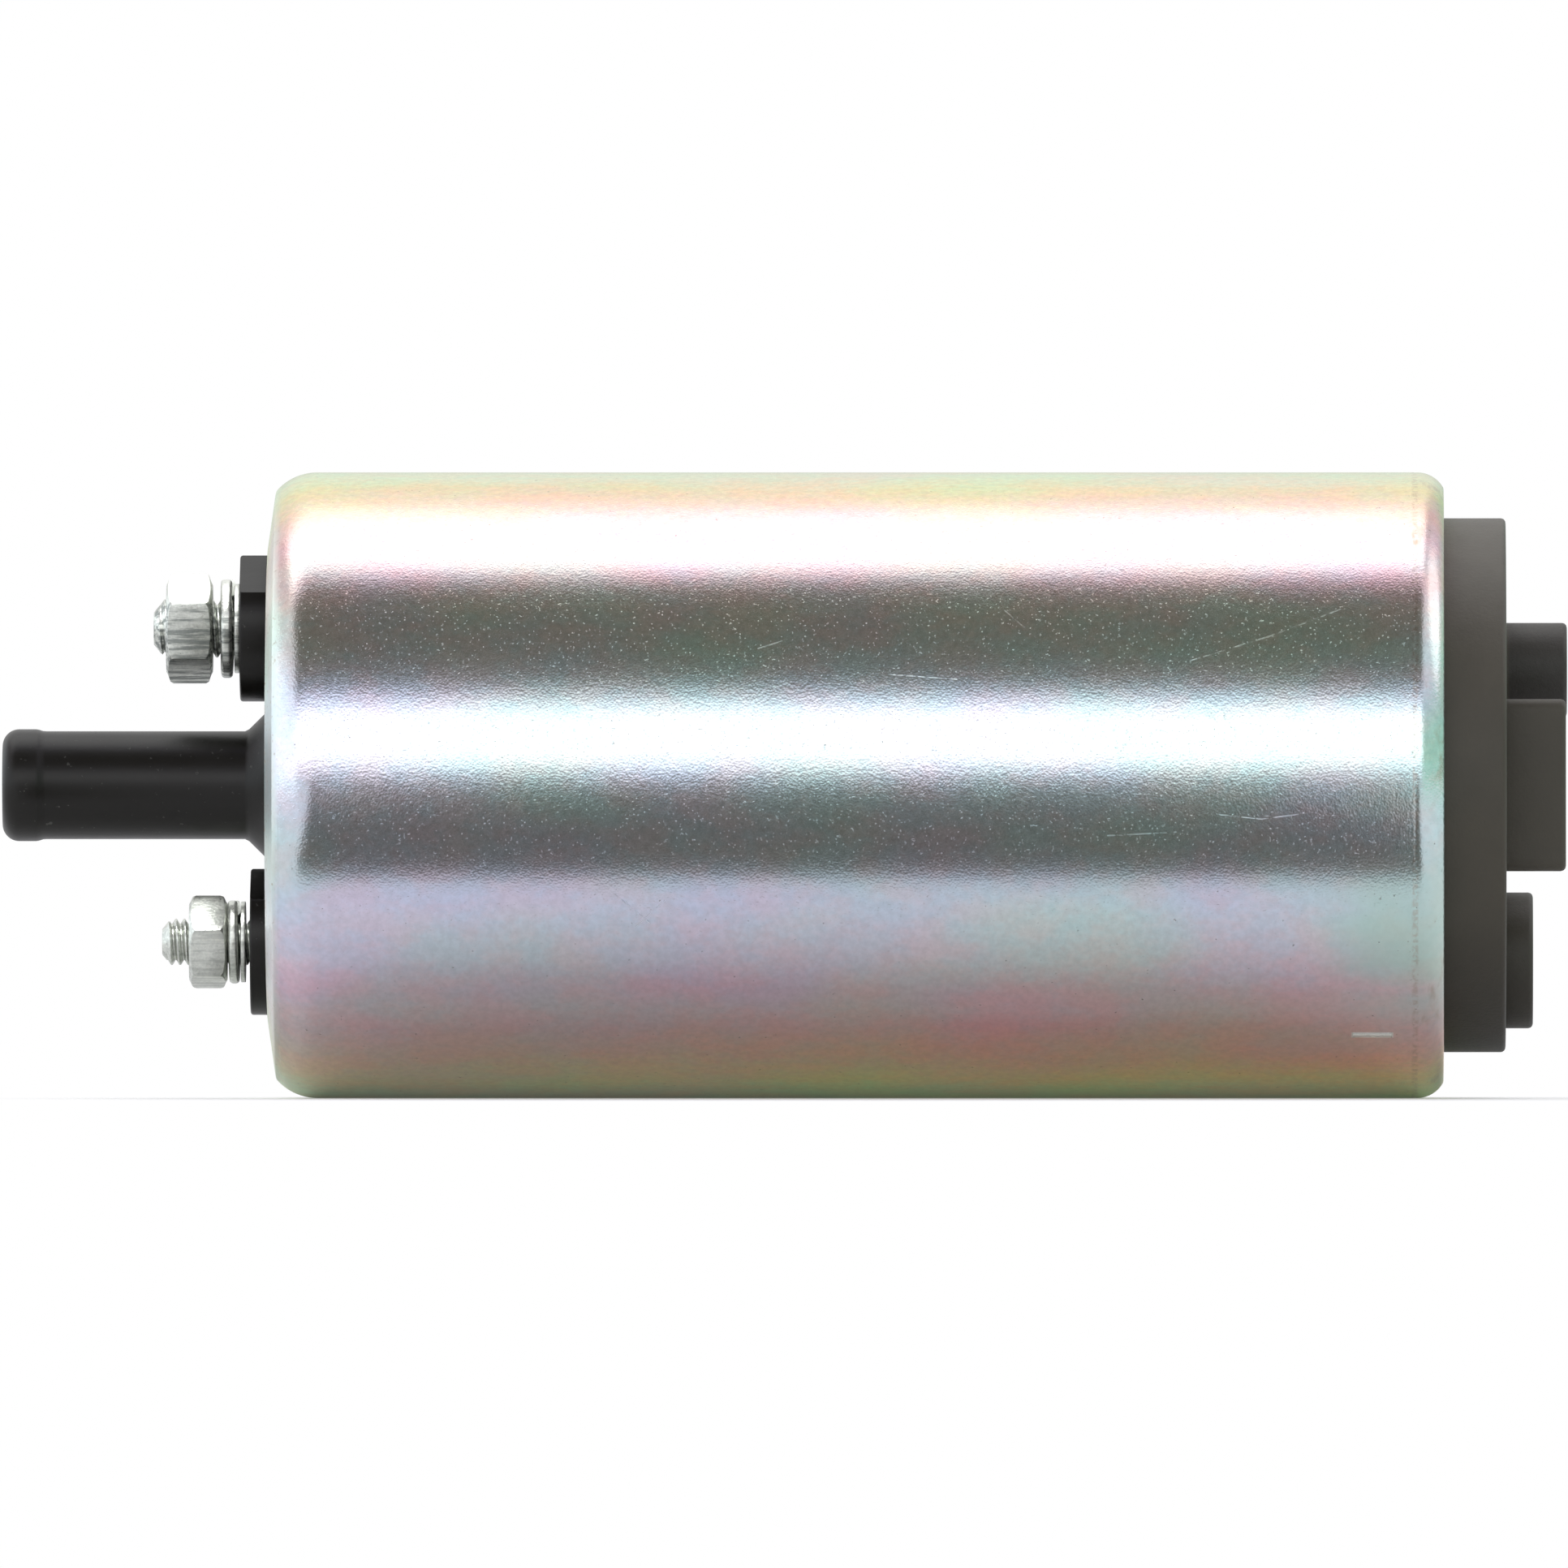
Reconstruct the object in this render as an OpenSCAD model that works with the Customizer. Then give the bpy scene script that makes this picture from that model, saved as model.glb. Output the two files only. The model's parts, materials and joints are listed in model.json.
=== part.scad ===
// In-tank fuel pump with a crimped steel shell, in millimetres.
// +X runs from the outlet nipple to the inlet cover, +Z is up, and -Y is the front.
// The origin is on the pump's axis, half way along the shell.

/* [Shell] */
// Outside diameter of the steel shell
shell_d = 52.5; // [51.5:0.5:56]
// Length of the shell, from its rolled lip to its crimp
shell_len = 98.6; // [95:0.2:110]
// Wall thickness of the shell
shell_wall = 1.6; // [1.2:0.1:1.8]
// Radius of the rolled shoulder at the outlet end
shoulder_r = 4.5; // [3.8:0.1:5.2]
// Radius of the crimped corner at the inlet end
crimp_r = 2.5; // [2:0.1:3]
// Depth of the rolled lip at the outlet end
lip_t = 1.9; // [1.6:0.1:2.2]
// Depth of the crimped flange at the inlet end
crimp_t = 1.3; // [1.1:0.1:1.6]
// Length of the stake mark near the crimp
stake_len = 3.4; // [2:0.2:5]
// Angle of the stake mark below the front
stake_angle = 52.7; // [30:1:70]

/* [Outlet nipple] */
// Outside diameter of the hose nipple
nipple_d = 9.06; // [8.6:0.02:9.4]
// Bore of the hose nipple
nipple_bore_d = 6; // [5:0.1:6.4]
// Length of the nipple, from the lip of the shell to its tip
nipple_len = 22.3; // [18:0.1:30]
// Diameter of the bead at the tip
bead_d = 9.4; // [9.4:0.02:9.8]
// Length of the bead
bead_len = 3.4; // [3:0.1:5]

/* [Terminals] */
// Distance from the pump's axis to each terminal
tower_pitch = 13.15; // [12.8:0.05:13.6]
// Diameter of the moulded tower under each terminal
tower_d = 12.26; // [11.4:0.02:12.6]
// Height of the larger terminal's tower above the lip
tower_m5_h = 2.35; // [1.5:0.05:3]
// Height of the smaller terminal's tower above the lip
tower_m4_h = 1.47; // [1:0.05:2.5]
// Length of the larger stud above its tower
stud_m5_len = 7.25; // [6.9:0.05:9]
// Length of the smaller stud above its tower
stud_m4_len = 7.43; // [6.4:0.05:9]
// Width across the flats of the larger nut
nut_m5_flats = 8; // [7.6:0.1:8.4]
// Thickness of the larger nut
nut_m5_t = 3.88; // [3.2:0.02:4]
// Width across the flats of the smaller nut
nut_m4_flats = 7; // [6.6:0.1:7.4]
// Thickness of the smaller nut
nut_m4_t = 3.2; // [2.8:0.02:3.4]

/* [Inlet cover] */
// Diameter of the disc that stands out of the crimp
disc_d = 44.8; // [43:0.1:45.4]
// Height of the disc above the crimp
disc_h = 5.2; // [4:0.1:7]
// Diameter of the inlet bore
inlet_d = 8.4; // [7.4:0.1:8.6]
// Outside diameter of the collar round the inlet
collar_d = 11.4; // [11:0.1:12]
// Height of the inlet collar above the disc
collar_h = 2.3; // [1.5:0.1:3.5]
// Distance from the axis to the inlet, downwards
inlet_pitch = 14.7; // [14.2:0.1:15.2]
// Diameter of the post that holds the strainer
post_d = 8; // [7:0.1:8.6]
// Height of the strainer post above the disc
post_h = 5.2; // [4:0.1:7]
// Height of the locating block above the disc
block_h = 5; // [4:0.1:7]
// Width of the locating block
block_w = 14.4; // [12:0.1:16]
// Depth of the locating block, from front to back
block_depth = 7; // [5:0.1:8]

/* [Motor and pump] */
// Diameter of the rotor shaft
shaft_d = 5; // [4.6:0.1:5.2]
// Outside diameter of the commutator
commutator_d = 16; // [15.4:0.1:16.6]
// Number of commutator bars and armature slots
slots = 8; // [6:1:12]
// Thickness of each magnet
magnet_t = 6.2; // [5:0.1:6.6]
// Air gap between the magnets and the armature
air_gap = 0.6; // [0.4:0.05:0.9]
// Diameter of the impeller
impeller_d = 39.8; // [38.6:0.1:40]
// Thickness of the impeller
impeller_t = 3.7; // [3.2:0.1:4]
// Number of vanes on each side of the impeller
vanes = 36; // [24:1:40]
// Length of each carbon brush
brush_len = 7; // [5:0.1:8]
// How far the outlet check valve opens
check_lift = 3; // [1.5:0.1:3.2]

/* [Hidden] */
$fn = 96;

// Clearances: fixed pieces that fit round each other, faces that seat, and a running shaft
fit = 0.04;
seat = 0.02;
running = 0.03;
end_play = 0.05;

// Planes along the axis at the outlet end
shell_r = shell_d / 2;
bore_r = shell_r - shell_wall;
cover_r = bore_r - fit;
x_out = -shell_len / 2;
x_in = shell_len / 2;
tower_r = tower_d / 2;
lip_gap = 0.62;
lip_r = tower_pitch + tower_r + lip_gap;
lip_tilt = 8;
shoulder_turn = 47;
shoulder_edge_r = 0.6;
crimp_turn = 60;
crimp_edge_r = 0.3;
corner = 0.7;
corner_run = 1.5;
stake_w = 0.7;
stake_depth = 0.25;
stake_inset = 4.3;

// Outlet cover
face_recess = 0.9;
face_gap = 0.3;
cover_wall = 2.9;
cover_depth = 15.3;
skirt_t = 3.6;
hub_r = 9;
x_shoulder = x_out + lip_t + seat;
x_face = x_out + face_recess;
x_wall = x_shoulder + cover_wall;
x_skirt = x_out + cover_depth;
skirt_r = cover_r - skirt_t;
nipple_r = nipple_d / 2;
bead_r = bead_d / 2;
x_tip = x_out - nipple_len;
tip_round = 1.4;
cone_len = 1.7;
x_cone = x_out - cone_len;
seal_wire = 2.08;
seal_groove = 2.5;
seal_inset = 8;
x_seal = x_shoulder + seal_inset;

// Check valve in the cover's hub
chamber_r = 4.2;
step_depth = 0.7;
x_step = x_out - step_depth;
bush_len = 6;
bush_r = 5.5;
bush_rise = 0.5;
x_bush = x_skirt - bush_rise;
seat_t = 2;
gallery_len = 2.1;
gallery_at = 1.1;
x_check_seat = x_bush - gallery_len - seat_t;
seat_hole_r = 2.3;
seal_disc_t = 1.4;
poppet_head_t = 1.4;
poppet_r = 3.7;
stem_r = 1.6;
stem_gap = 0.6;
x_poppet = x_check_seat - seal_disc_t - poppet_head_t - seat;
stem_len = x_poppet - x_step - check_lift - stem_gap;
check_wire = 0.55;
gallery_hole_r = 0.9;

// Relief valve at the back of the cover
relief_pitch = 12.5;
relief_boss_r = 4.4;
relief_bore_r = 2.2;
ball_r = 1.8;
ball_hole_r = 1.1;
relief_seat_at = 6.1;
x_relief_seat = x_wall + relief_seat_at;
relief_seat_t = 1.5;
x_ball = x_relief_seat - sqrt(ball_r * ball_r - ball_hole_r * ball_hole_r) - seat;
relief_cap_t = 1;
relief_cap_hole_r = 0.9;
relief_cap_inset = 0.4;
x_relief_cap = x_face + relief_cap_inset;
relief_wire = 0.4;

// Terminals
m5_r = 2.45;
m4_r = 1.95;
thread_play = 0.05;
head_m5_r = 4.2;
head_m4_r = 3.6;
head_t = 2;
tail_m5_r = 1.5;
tail_m4_r = 1.2;
x_tower_m5 = x_out - tower_m5_h;
x_tower_m4 = x_out - tower_m4_h;
washer_m5_t = 0.45;
washer_m5_r = 3.75;
washer_m4_t = 0.4;
washer_m4_r = 3.4;
washer_play = 0.15;
lock_m5_t = 0.95;
lock_m5_r = 4.15;
lock_m4_t = 0.83;
lock_m4_r = 3.5;
lock_split = 14;
lock_rise = 0.22;
lock_tilt = 1;
lock_gap = 0.03;
nut_m5_gap = 0.62;
nut_m4_gap = 0.02;
nut_m5_turn = 33.5;
nut_m4_turn = 45.6;
washer_m4_gap = 0.42;
nut_bevel = 0.45;
x_flat_m5 = x_tower_m5 - washer_m5_t - seat;
x_flat_m4 = x_tower_m4 - washer_m4_t - washer_m4_gap;
lock_m5_room = 1.22;
lock_m4_room = 1.12;
x_nut_m5 = x_flat_m5 - lock_m5_room - nut_m5_gap - nut_m5_t;
x_nut_m4 = x_flat_m4 - lock_m4_room - nut_m4_gap - nut_m4_t;

// Chokes and their leads, behind the cover's wall
lead_t = 0.8;
lead_w = 4;
choke_at = [11, 9];
choke_core_r = 1.8;
choke_wire = 0.7;
choke_turns = 6;
choke_coil_gap = 0.14;
x_lead = x_wall + seat;
x_choke = x_lead + lead_t + seat;
choke_lead_gap = 0.9;
x_choke_lead = x_skirt - lead_t - choke_lead_gap;

// Brush gear
plate_t = 2.5;
holder_len = 20.5;
x_holder_end = x_skirt + holder_len;
x_hub = x_bush + bush_len;
thrust_washer_t = 0.5;
thrust_washer_r = 4.6;
thrust_gap = 0.1;
x_bars = x_hub + thrust_washer_t + 2 * thrust_gap;
bars_len = 10;
bars_t = 2.8;
bars_gap = 0.6;
riser_t = 1;
riser_h = 1.4;
commutator_r = commutator_d / 2;
brush_w = 6;
brush_h = 5;
brush_play = 0.1;
brush_inset = 1.5;
box_wall = 0.9;
x_brush = x_bars + brush_inset;
y_brush = commutator_r + running;
box_gap = 1.3;
y_box = y_brush + box_gap;
cap_inset = 1.41;
y_cap = skirt_r - cap_inset;
cap_t = 0.8;
tab_w = 3;
brush_wire = 0.4;
brush_turns = 3;
shunt_r = 0.4;
flow_hole_r = 2.2;
flow_pitch = 15.2;

// Pump end
x_flange = x_in - crimp_t - seat;
disc_r = disc_d / 2;
x_disc = x_in + disc_h;
cover_body_t = 6;
x_joint = x_flange - cover_body_t;
side_gap = 0.05;
recess_gap = 0.15;
impeller_r = impeller_d / 2;
x_recess = x_joint - impeller_t - 2 * side_gap;
casing_plate_t = 8;
casing_rim_len = 22.4;
x_plate = x_joint - casing_plate_t - seat;
x_rim = x_joint - casing_rim_len;
casing_hub_len = 9;
x_casing_hub = x_plate - casing_hub_len;
inlet_bush_len = 8;
channel_w = 4;
channel_depth = 2;
channel_start = -95;
channel_sweep = 325;
channel_r = impeller_r - channel_w - 0.7;
port_r = 2.6;
port_angle = -132;
casing_seal_inset = 0.8;
thrust_button_r = 2.9;
thrust_button_t = 1.6;
shaft_over = 0.3;
shaft_inset = 0.3;
x_shaft = x_bush + shaft_inset;
x_shaft_end = x_joint + shaft_over;
shaft_r = shaft_d / 2;
flat_cut = 0.7;
flat_start = 0.1;
post_at = [8, 9.64];
block_front = 15;
block_round = 1;
edge_round = 0.35;

// Magnets and armature fill what the two ends leave
x_magnet = x_holder_end + seat;
magnet_len = x_rim - seat - x_magnet;
magnet_arc = 128;
magnet_r = cover_r - magnet_t;
clip_t = 0.7;
clip_inset = 3;
core_r = magnet_r - air_gap;
core_inset = 2.5;
x_core = x_magnet + core_inset;
core_len = magnet_len - 2 * core_inset;
slot_root_r = 8.2;
slot_w = 4.4;
slot_mouth = 1.4;
slot_top = 1.6;
winding_play = 0.2;
insulator_t = 0.6;
end_turn_len = 4.6;
end_turn_r = 6.4;
end_turn_over = 0.4;
spacer_r = 5;

// Points [x, r] of an arc, with its angles from the +r direction towards +X
function arc(x, r, rad, a0, a1, n = 10) =
    [for (i = [0:n]) let (a = a0 + (a1 - a0) * i / n) [x + rad * sin(a), r + rad * cos(a)]];

// Stands what is drawn in Y and Z up along +X, from plane x
module axial(x = 0) {
    translate([x, 0, 0]) rotate([90, 0, 90]) children();
}

// Round bar along X
module bar(x0, x1, r) {
    axial(x0) cylinder(h = x1 - x0, r = r);
}

// Round tube along X
module tube(x0, x1, r_out, r_in) {
    difference() {
        bar(x0, x1, r_out);
        bar(x0 - 1, x1 + 1, r_in);
    }
}

// Body of revolution about X, from points [x, r]
module lathe(profile) {
    axial() rotate_extrude() polygon([for (p = profile) [p[1], p[0]]]);
}

// Sector of a ring about X, from angle a0 through sweep degrees
module sector(x0, x1, r_out, r_in, a0, sweep) {
    axial(x0) rotate([0, 0, a0]) rotate_extrude(angle = sweep)
        translate([r_in, 0]) square([r_out - r_in, x1 - x0]);
}

// Moves what is drawn on the axis to a terminal: 1 is the upper one and -1 the lower one
module at_terminal(side) {
    translate([0, 0, side * tower_pitch]) children();
}

// Strip with round ends between two points [y, z]
module strip(p, q, w, x, t) {
    lean = atan2(q[1] - p[1], q[0] - p[0]);
    steps = 16;
    axial(x) linear_extrude(t) polygon(concat(
        [for (i = [0:steps]) let (a = lean + 90 + 180 * i / steps) p + w / 2 * [cos(a), sin(a)]],
        [for (i = [0:steps]) let (a = lean - 90 + 180 * i / steps) q + w / 2 * [cos(a), sin(a)]]
    ));
}

// Tube of the given section wound about the local Z axis, with flat ends
module helix(r, rise, turns, section, steps) {
    n = len(section);
    rings = ceil(turns * steps);
    points = [for (i = [0:rings]) for (s = section)
        [(r + s[0]) * cos(360 * turns * i / rings), (r + s[0]) * sin(360 * turns * i / rings), rise * i / rings + s[1]]];
    sides = [for (i = [0:rings - 1]) for (j = [0:n - 1])
        let (a = i * n + j, b = i * n + (j + 1) % n) each [[a, b, b + n], [a, b + n, a + n]]];
    start = [for (j = [1:n - 2]) [0, j + 1, j]];
    end = [for (j = [1:n - 2]) [rings * n, rings * n + j, rings * n + j + 1]];
    polyhedron(points, concat(sides, start, end));
}

function wire_section(d) = [for (i = [0:5]) [d / 2 * cos(-60 * i), d / 2 * sin(-60 * i)]];

function band_section(w, t) = [[-w / 2, t], [w / 2, t], [w / 2, 0], [-w / 2, 0]];

// Round-wire spring of a given length about the local Z axis
module spring(r, wire, length, turns) {
    translate([0, 0, wire / 2]) helix(r, length - wire, turns, wire_section(wire), 10);
}

module housing_shell() {
    crimp_x = x_in - (crimp_r - crimp_edge_r) * sin(crimp_turn) - crimp_edge_r;
    crimp_c = shell_r - crimp_r;
    roll_end_r = shell_r - shoulder_r + (shoulder_r - shoulder_edge_r) * cos(shoulder_turn)
        + shoulder_edge_r * cos(90 - lip_tilt);
    roll_end_x = x_out + (roll_end_r - lip_r) * tan(lip_tilt);
    edge_x = roll_end_x + shoulder_edge_r * sin(90 - lip_tilt);
    roll_x = edge_x + (shoulder_r - shoulder_edge_r) * sin(shoulder_turn);
    roll_c = shell_r - shoulder_r;
    color([0.75, 0.76, 0.72]) difference() {
        lathe(concat(
            [[x_in - crimp_t, disc_r + 0.1], [x_in, disc_r + 0.1]],
            arc(crimp_x + (crimp_r - crimp_edge_r) * sin(crimp_turn),
                crimp_c + (crimp_r - crimp_edge_r) * cos(crimp_turn), crimp_edge_r, 90, crimp_turn, 3),
            arc(crimp_x, crimp_c, crimp_r, crimp_turn, 0),
            arc(roll_x, roll_c, shoulder_r, 0, -shoulder_turn),
            arc(edge_x, roll_c + (shoulder_r - shoulder_edge_r) * cos(shoulder_turn),
                shoulder_edge_r, -shoulder_turn, lip_tilt - 90, 4),
            [[x_out, lip_r], [x_out + lip_t, lip_r], [x_out + lip_t, bore_r - corner],
             [x_out + lip_t + corner_run, bore_r], [x_in - crimp_t, bore_r]]
        ));
        axial(x_in - stake_inset - stake_len) rotate([0, 0, 180 + stake_angle])
            translate([shell_r - stake_depth, -stake_w / 2, 0]) cube([1, stake_w, stake_len]);
    }
}

module outlet_cover() {
    color([0.12, 0.12, 0.11]) difference() {
        union() {
            bar(x_face, x_shoulder, lip_r - face_gap);
            lathe([[x_shoulder, 0], [x_shoulder, bore_r - corner - 2 * fit],
                [x_shoulder + corner_run, cover_r], [x_wall, cover_r], [x_wall, 0]]);
            tube(x_wall, x_skirt, cover_r, skirt_r);
            bar(x_wall, x_hub, hub_r);
            translate([0, relief_pitch, 0]) bar(x_wall, x_relief_seat + relief_seat_t, relief_boss_r);
            at_terminal(1) bar(x_tower_m5, x_face, tower_r);
            at_terminal(-1) bar(x_tower_m4, x_face, tower_r);
            nipple();
        }
        bar(x_tip - 1, x_step + 1, nipple_bore_d / 2);
        bar(x_step, x_bush + 1, chamber_r);
        bar(x_bush, x_hub + 1, bush_r + fit);
        for (a = [60, 120]) {
            translate([x_bush - gallery_at, 0, 0]) rotate([a, 0, 0]) cylinder(h = 4 * hub_r, r = gallery_hole_r, center = true);
        }
        tube(x_seal, x_seal + seal_groove, cover_r + 1, cover_r - seal_wire + fit);
        translate([0, relief_pitch, 0]) bar(x_face - 1, x_relief_seat + relief_seat_t + 1, relief_bore_r);
        at_terminal(1) stud_hole(x_tower_m5, m5_r, head_m5_r);
        at_terminal(-1) stud_hole(x_tower_m4, m4_r, head_m4_r);
    }
}

module nipple() {
    face_r = nipple_r + x_face - x_cone;
    lathe(concat(
        [[x_tip, 0]],
        arc(x_tip + tip_round, bead_r - tip_round, tip_round, -90, 0),
        [[x_tip + bead_len - 0.5, bead_r], [x_tip + bead_len, nipple_r], [x_cone, nipple_r],
         [x_face, face_r], [x_face + 0.5, face_r], [x_face + 0.5, 0]]
    ));
}

module stud_hole(x_tower, r, head_r) {
    bar(x_tower - 1, x_wall, r + fit);
    bar(x_wall - head_t - seat, x_wall + 1, head_r + fit);
}

module outlet_cover_seal() {
    ring_r = cover_r - seal_wire / 2 + fit;
    color([0.1, 0.1, 0.1]) axial(x_seal + seal_groove / 2)
        rotate_extrude() translate([ring_r, 0]) circle(d = seal_wire - fit);
}

module terminal_stud(x_tower, length, r, head_r, tail_r) {
    tip = x_tower - length;
    bevel = 0.22 * r;
    lathe([[tip, 0], [tip, r - bevel], [tip + bevel, r], [x_wall - head_t, r], [x_wall - head_t, head_r],
        [x_wall, head_r], [x_wall, tail_r], [x_wall + lead_t + 0.3, tail_r], [x_wall + lead_t + 0.3, 0]]);
}

module terminal_stud_m5() {
    color([0.8, 0.8, 0.78]) at_terminal(1) terminal_stud(x_tower_m5, stud_m5_len, m5_r, head_m5_r, tail_m5_r);
}

module terminal_stud_m4() {
    color([0.8, 0.8, 0.78]) at_terminal(-1) terminal_stud(x_tower_m4, stud_m4_len, m4_r, head_m4_r, tail_m4_r);
}

module flat_washer_m5() {
    color([0.78, 0.79, 0.78]) at_terminal(1)
        tube(x_flat_m5, x_flat_m5 + washer_m5_t, washer_m5_r, m5_r + washer_play);
}

module flat_washer_m4() {
    color([0.78, 0.79, 0.78]) at_terminal(-1)
        tube(x_flat_m4, x_flat_m4 + washer_m4_t, washer_m4_r, m4_r + washer_play);
}

// Split spring washer, whose right face starts at the local plane 0 and rises towards -X
module lock_washer(r_out, r_in, t) {
    turns = 1 - lock_split / 360;
    rotate([90, 0, 90]) rotate([0, 0, 90 + lock_split / 2])
        helix((r_out + r_in) / 2, lock_rise, turns, band_section(r_out - r_in, t), 32);
}

module lock_washer_m5() {
    color([0.8, 0.81, 0.8]) at_terminal(1)
        translate([x_flat_m5 - lock_m5_room + lock_gap, 0, 0]) rotate([0, lock_tilt / 2, 0])
            lock_washer(lock_m5_r, m5_r + 2 * washer_play, lock_m5_t);
}

module lock_washer_m4() {
    color([0.8, 0.81, 0.8]) at_terminal(-1)
        translate([x_flat_m4 - lock_m4_room + lock_gap, 0, 0]) rotate([0, -lock_tilt / 2, 0])
            lock_washer(lock_m4_r, m4_r + 2 * washer_play, lock_m4_t);
}

// Hexagon nut from plane x, bevelled at both ends
module nut(x, t, flats, r, turn) {
    corner_r = flats / 2 / cos(30);
    face_r = 0.475 * flats;
    difference() {
        intersection() {
            axial(x) rotate([0, 0, turn]) cylinder(h = t, r = corner_r, $fn = 6);
            lathe([[x, 0], [x, face_r], [x + nut_bevel, corner_r + 0.1], [x + t - nut_bevel, corner_r + 0.1],
                [x + t, face_r], [x + t, 0]]);
        }
        bar(x - 1, x + t + 1, r + thread_play);
        for (end = [0, 1]) {
            translate([x + end * t, 0, 0]) rotate([0, 90, 0])
                cylinder(h = 0.8, r1 = end ? r - 0.3 : r + 0.4, r2 = end ? r + 0.4 : r - 0.3, center = true);
        }
    }
}

module nut_m5() {
    color([0.8, 0.81, 0.8]) at_terminal(1) nut(x_nut_m5, nut_m5_t, nut_m5_flats, m5_r, nut_m5_turn);
}

module nut_m4() {
    color([0.8, 0.81, 0.8]) at_terminal(-1) nut(x_nut_m4, nut_m4_t, nut_m4_flats, m4_r, nut_m4_turn);
}

module terminal_lead(side, tail_r) {
    difference() {
        strip([0, side * tower_pitch], side * choke_at, lead_w, x_lead, lead_t);
        at_terminal(side) bar(x_lead - 1, x_lead + lead_t + 1, tail_r + fit);
    }
}

module terminal_lead_m5() {
    color([0.75, 0.45, 0.3]) terminal_lead(1, tail_m5_r);
}

module terminal_lead_m4() {
    color([0.75, 0.45, 0.3]) terminal_lead(-1, tail_m4_r);
}

module at_choke(side) {
    translate([0, side * choke_at[0], side * choke_at[1]]) children();
}

module choke_core_rear() {
    color([0.2, 0.2, 0.2]) at_choke(1) bar(x_choke, x_choke_lead - seat, choke_core_r);
}

module choke_core_front() {
    color([0.2, 0.2, 0.2]) at_choke(-1) bar(x_choke, x_choke_lead - seat, choke_core_r);
}

module choke_coil() {
    axial(x_choke + seat) spring(choke_core_r + choke_wire / 2 + choke_coil_gap, choke_wire,
        x_choke_lead - x_choke - 3 * seat, choke_turns);
}

module choke_coil_rear() {
    color([0.72, 0.4, 0.2]) at_choke(1) choke_coil();
}

module choke_coil_front() {
    color([0.72, 0.4, 0.2]) at_choke(-1) choke_coil();
}

module choke_lead_rear() {
    color([0.75, 0.45, 0.3]) strip(choke_at, [y_cap + cap_t - tab_w / 2, 0], tab_w, x_choke_lead, lead_t);
}

module choke_lead_front() {
    color([0.75, 0.45, 0.3]) strip(-choke_at, [-(y_cap + cap_t - tab_w / 2), 0], tab_w, x_choke_lead, lead_t);
}

module check_valve_seat() {
    color([0.8, 0.65, 0.35]) tube(x_check_seat, x_check_seat + seat_t, chamber_r - fit, seat_hole_r);
}

module check_valve_poppet() {
    color([0.85, 0.85, 0.82]) union() {
        bar(x_poppet, x_poppet + poppet_head_t, poppet_r);
        lathe([[x_poppet - stem_len, 0], [x_poppet - stem_len, stem_r - 0.5], [x_poppet - stem_len + 1, stem_r],
            [x_poppet + 0.5, stem_r], [x_poppet + 0.5, 0]]);
    }
}

module check_valve_washer() {
    color([0.15, 0.15, 0.15]) bar(x_poppet + poppet_head_t, x_check_seat - seat, poppet_r - 0.3);
}

module check_valve_spring() {
    color([0.75, 0.75, 0.75]) axial(x_step + seat)
        spring(chamber_r - 0.7, check_wire, x_poppet - x_step - 2 * seat, 6);
}

module at_relief() {
    translate([0, relief_pitch, 0]) children();
}

module relief_valve_seat() {
    color([0.8, 0.65, 0.35]) at_relief()
        tube(x_relief_seat, x_relief_seat + relief_seat_t, relief_bore_r - fit, ball_hole_r);
}

module relief_valve_ball() {
    color([0.8, 0.8, 0.82]) at_relief() translate([x_ball, 0, 0]) sphere(ball_r);
}

module relief_valve_spring() {
    low = x_relief_cap + relief_cap_t + seat;
    color([0.75, 0.75, 0.75]) at_relief() axial(low)
        spring(1.1, relief_wire, x_ball - sqrt(ball_r * ball_r - 0.81) - low - 0.1, 5);
}

module relief_valve_cap() {
    color([0.8, 0.65, 0.35]) at_relief()
        tube(x_relief_cap, x_relief_cap + relief_cap_t, relief_bore_r - fit, relief_cap_hole_r);
}

module outlet_bearing() {
    color([0.7, 0.5, 0.3]) tube(x_bush + seat, x_hub, bush_r, shaft_r + running);
}

module inlet_bearing() {
    color([0.7, 0.5, 0.3]) tube(x_casing_hub, x_casing_hub + inlet_bush_len, bush_r, shaft_r + running);
}

// Cuboid from its low corner and its size, mirrored to the rear for side 1 or the front for -1
module block(side, x, y, z_half, dx, dy) {
    mirror([0, side < 0 ? 1 : 0, 0]) translate([x, y, -z_half]) cube([dx, dy, 2 * z_half]);
}

module brush_holder() {
    box_end = x_brush + brush_w + brush_play + box_wall;
    color([0.35, 0.2, 0.12]) difference() {
        union() {
            tube(x_skirt + seat, x_skirt + plate_t, cover_r, hub_r + fit);
            tube(x_skirt + seat, x_holder_end, cover_r, skirt_r);
            for (side = [-1, 1]) {
                block(side, x_skirt + seat, y_box, brush_h / 2 + brush_play + box_wall,
                    box_end - x_skirt - seat, skirt_r + 0.5 - y_box);
            }
        }
        for (side = [-1, 1]) {
            block(side, x_brush - brush_play, y_box - 2, brush_h / 2 + brush_play,
                brush_w + 2 * brush_play, cover_r);
            block(side, x_skirt - 1, y_cap - fit, tab_w / 2 + brush_play, x_brush - x_skirt + 2, cap_t + 2 * fit);
        }
        for (a = [45:90:315]) {
            translate([0, flow_pitch * cos(a), flow_pitch * sin(a)]) bar(x_skirt - 1, x_skirt + plate_t + 1, flow_hole_r);
        }
    }
}

module brush_cap(side) {
    union() {
        block(side, x_brush - 0.05, y_cap, brush_h / 2 + 0.05, brush_w + 0.1, cap_t);
        block(side, x_choke_lead + lead_t + seat, y_cap, tab_w / 2, x_brush - x_choke_lead - lead_t, cap_t);
    }
}

module brush_cap_rear() {
    color([0.8, 0.65, 0.35]) brush_cap(1);
}

module brush_cap_front() {
    color([0.8, 0.65, 0.35]) brush_cap(-1);
}

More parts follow.
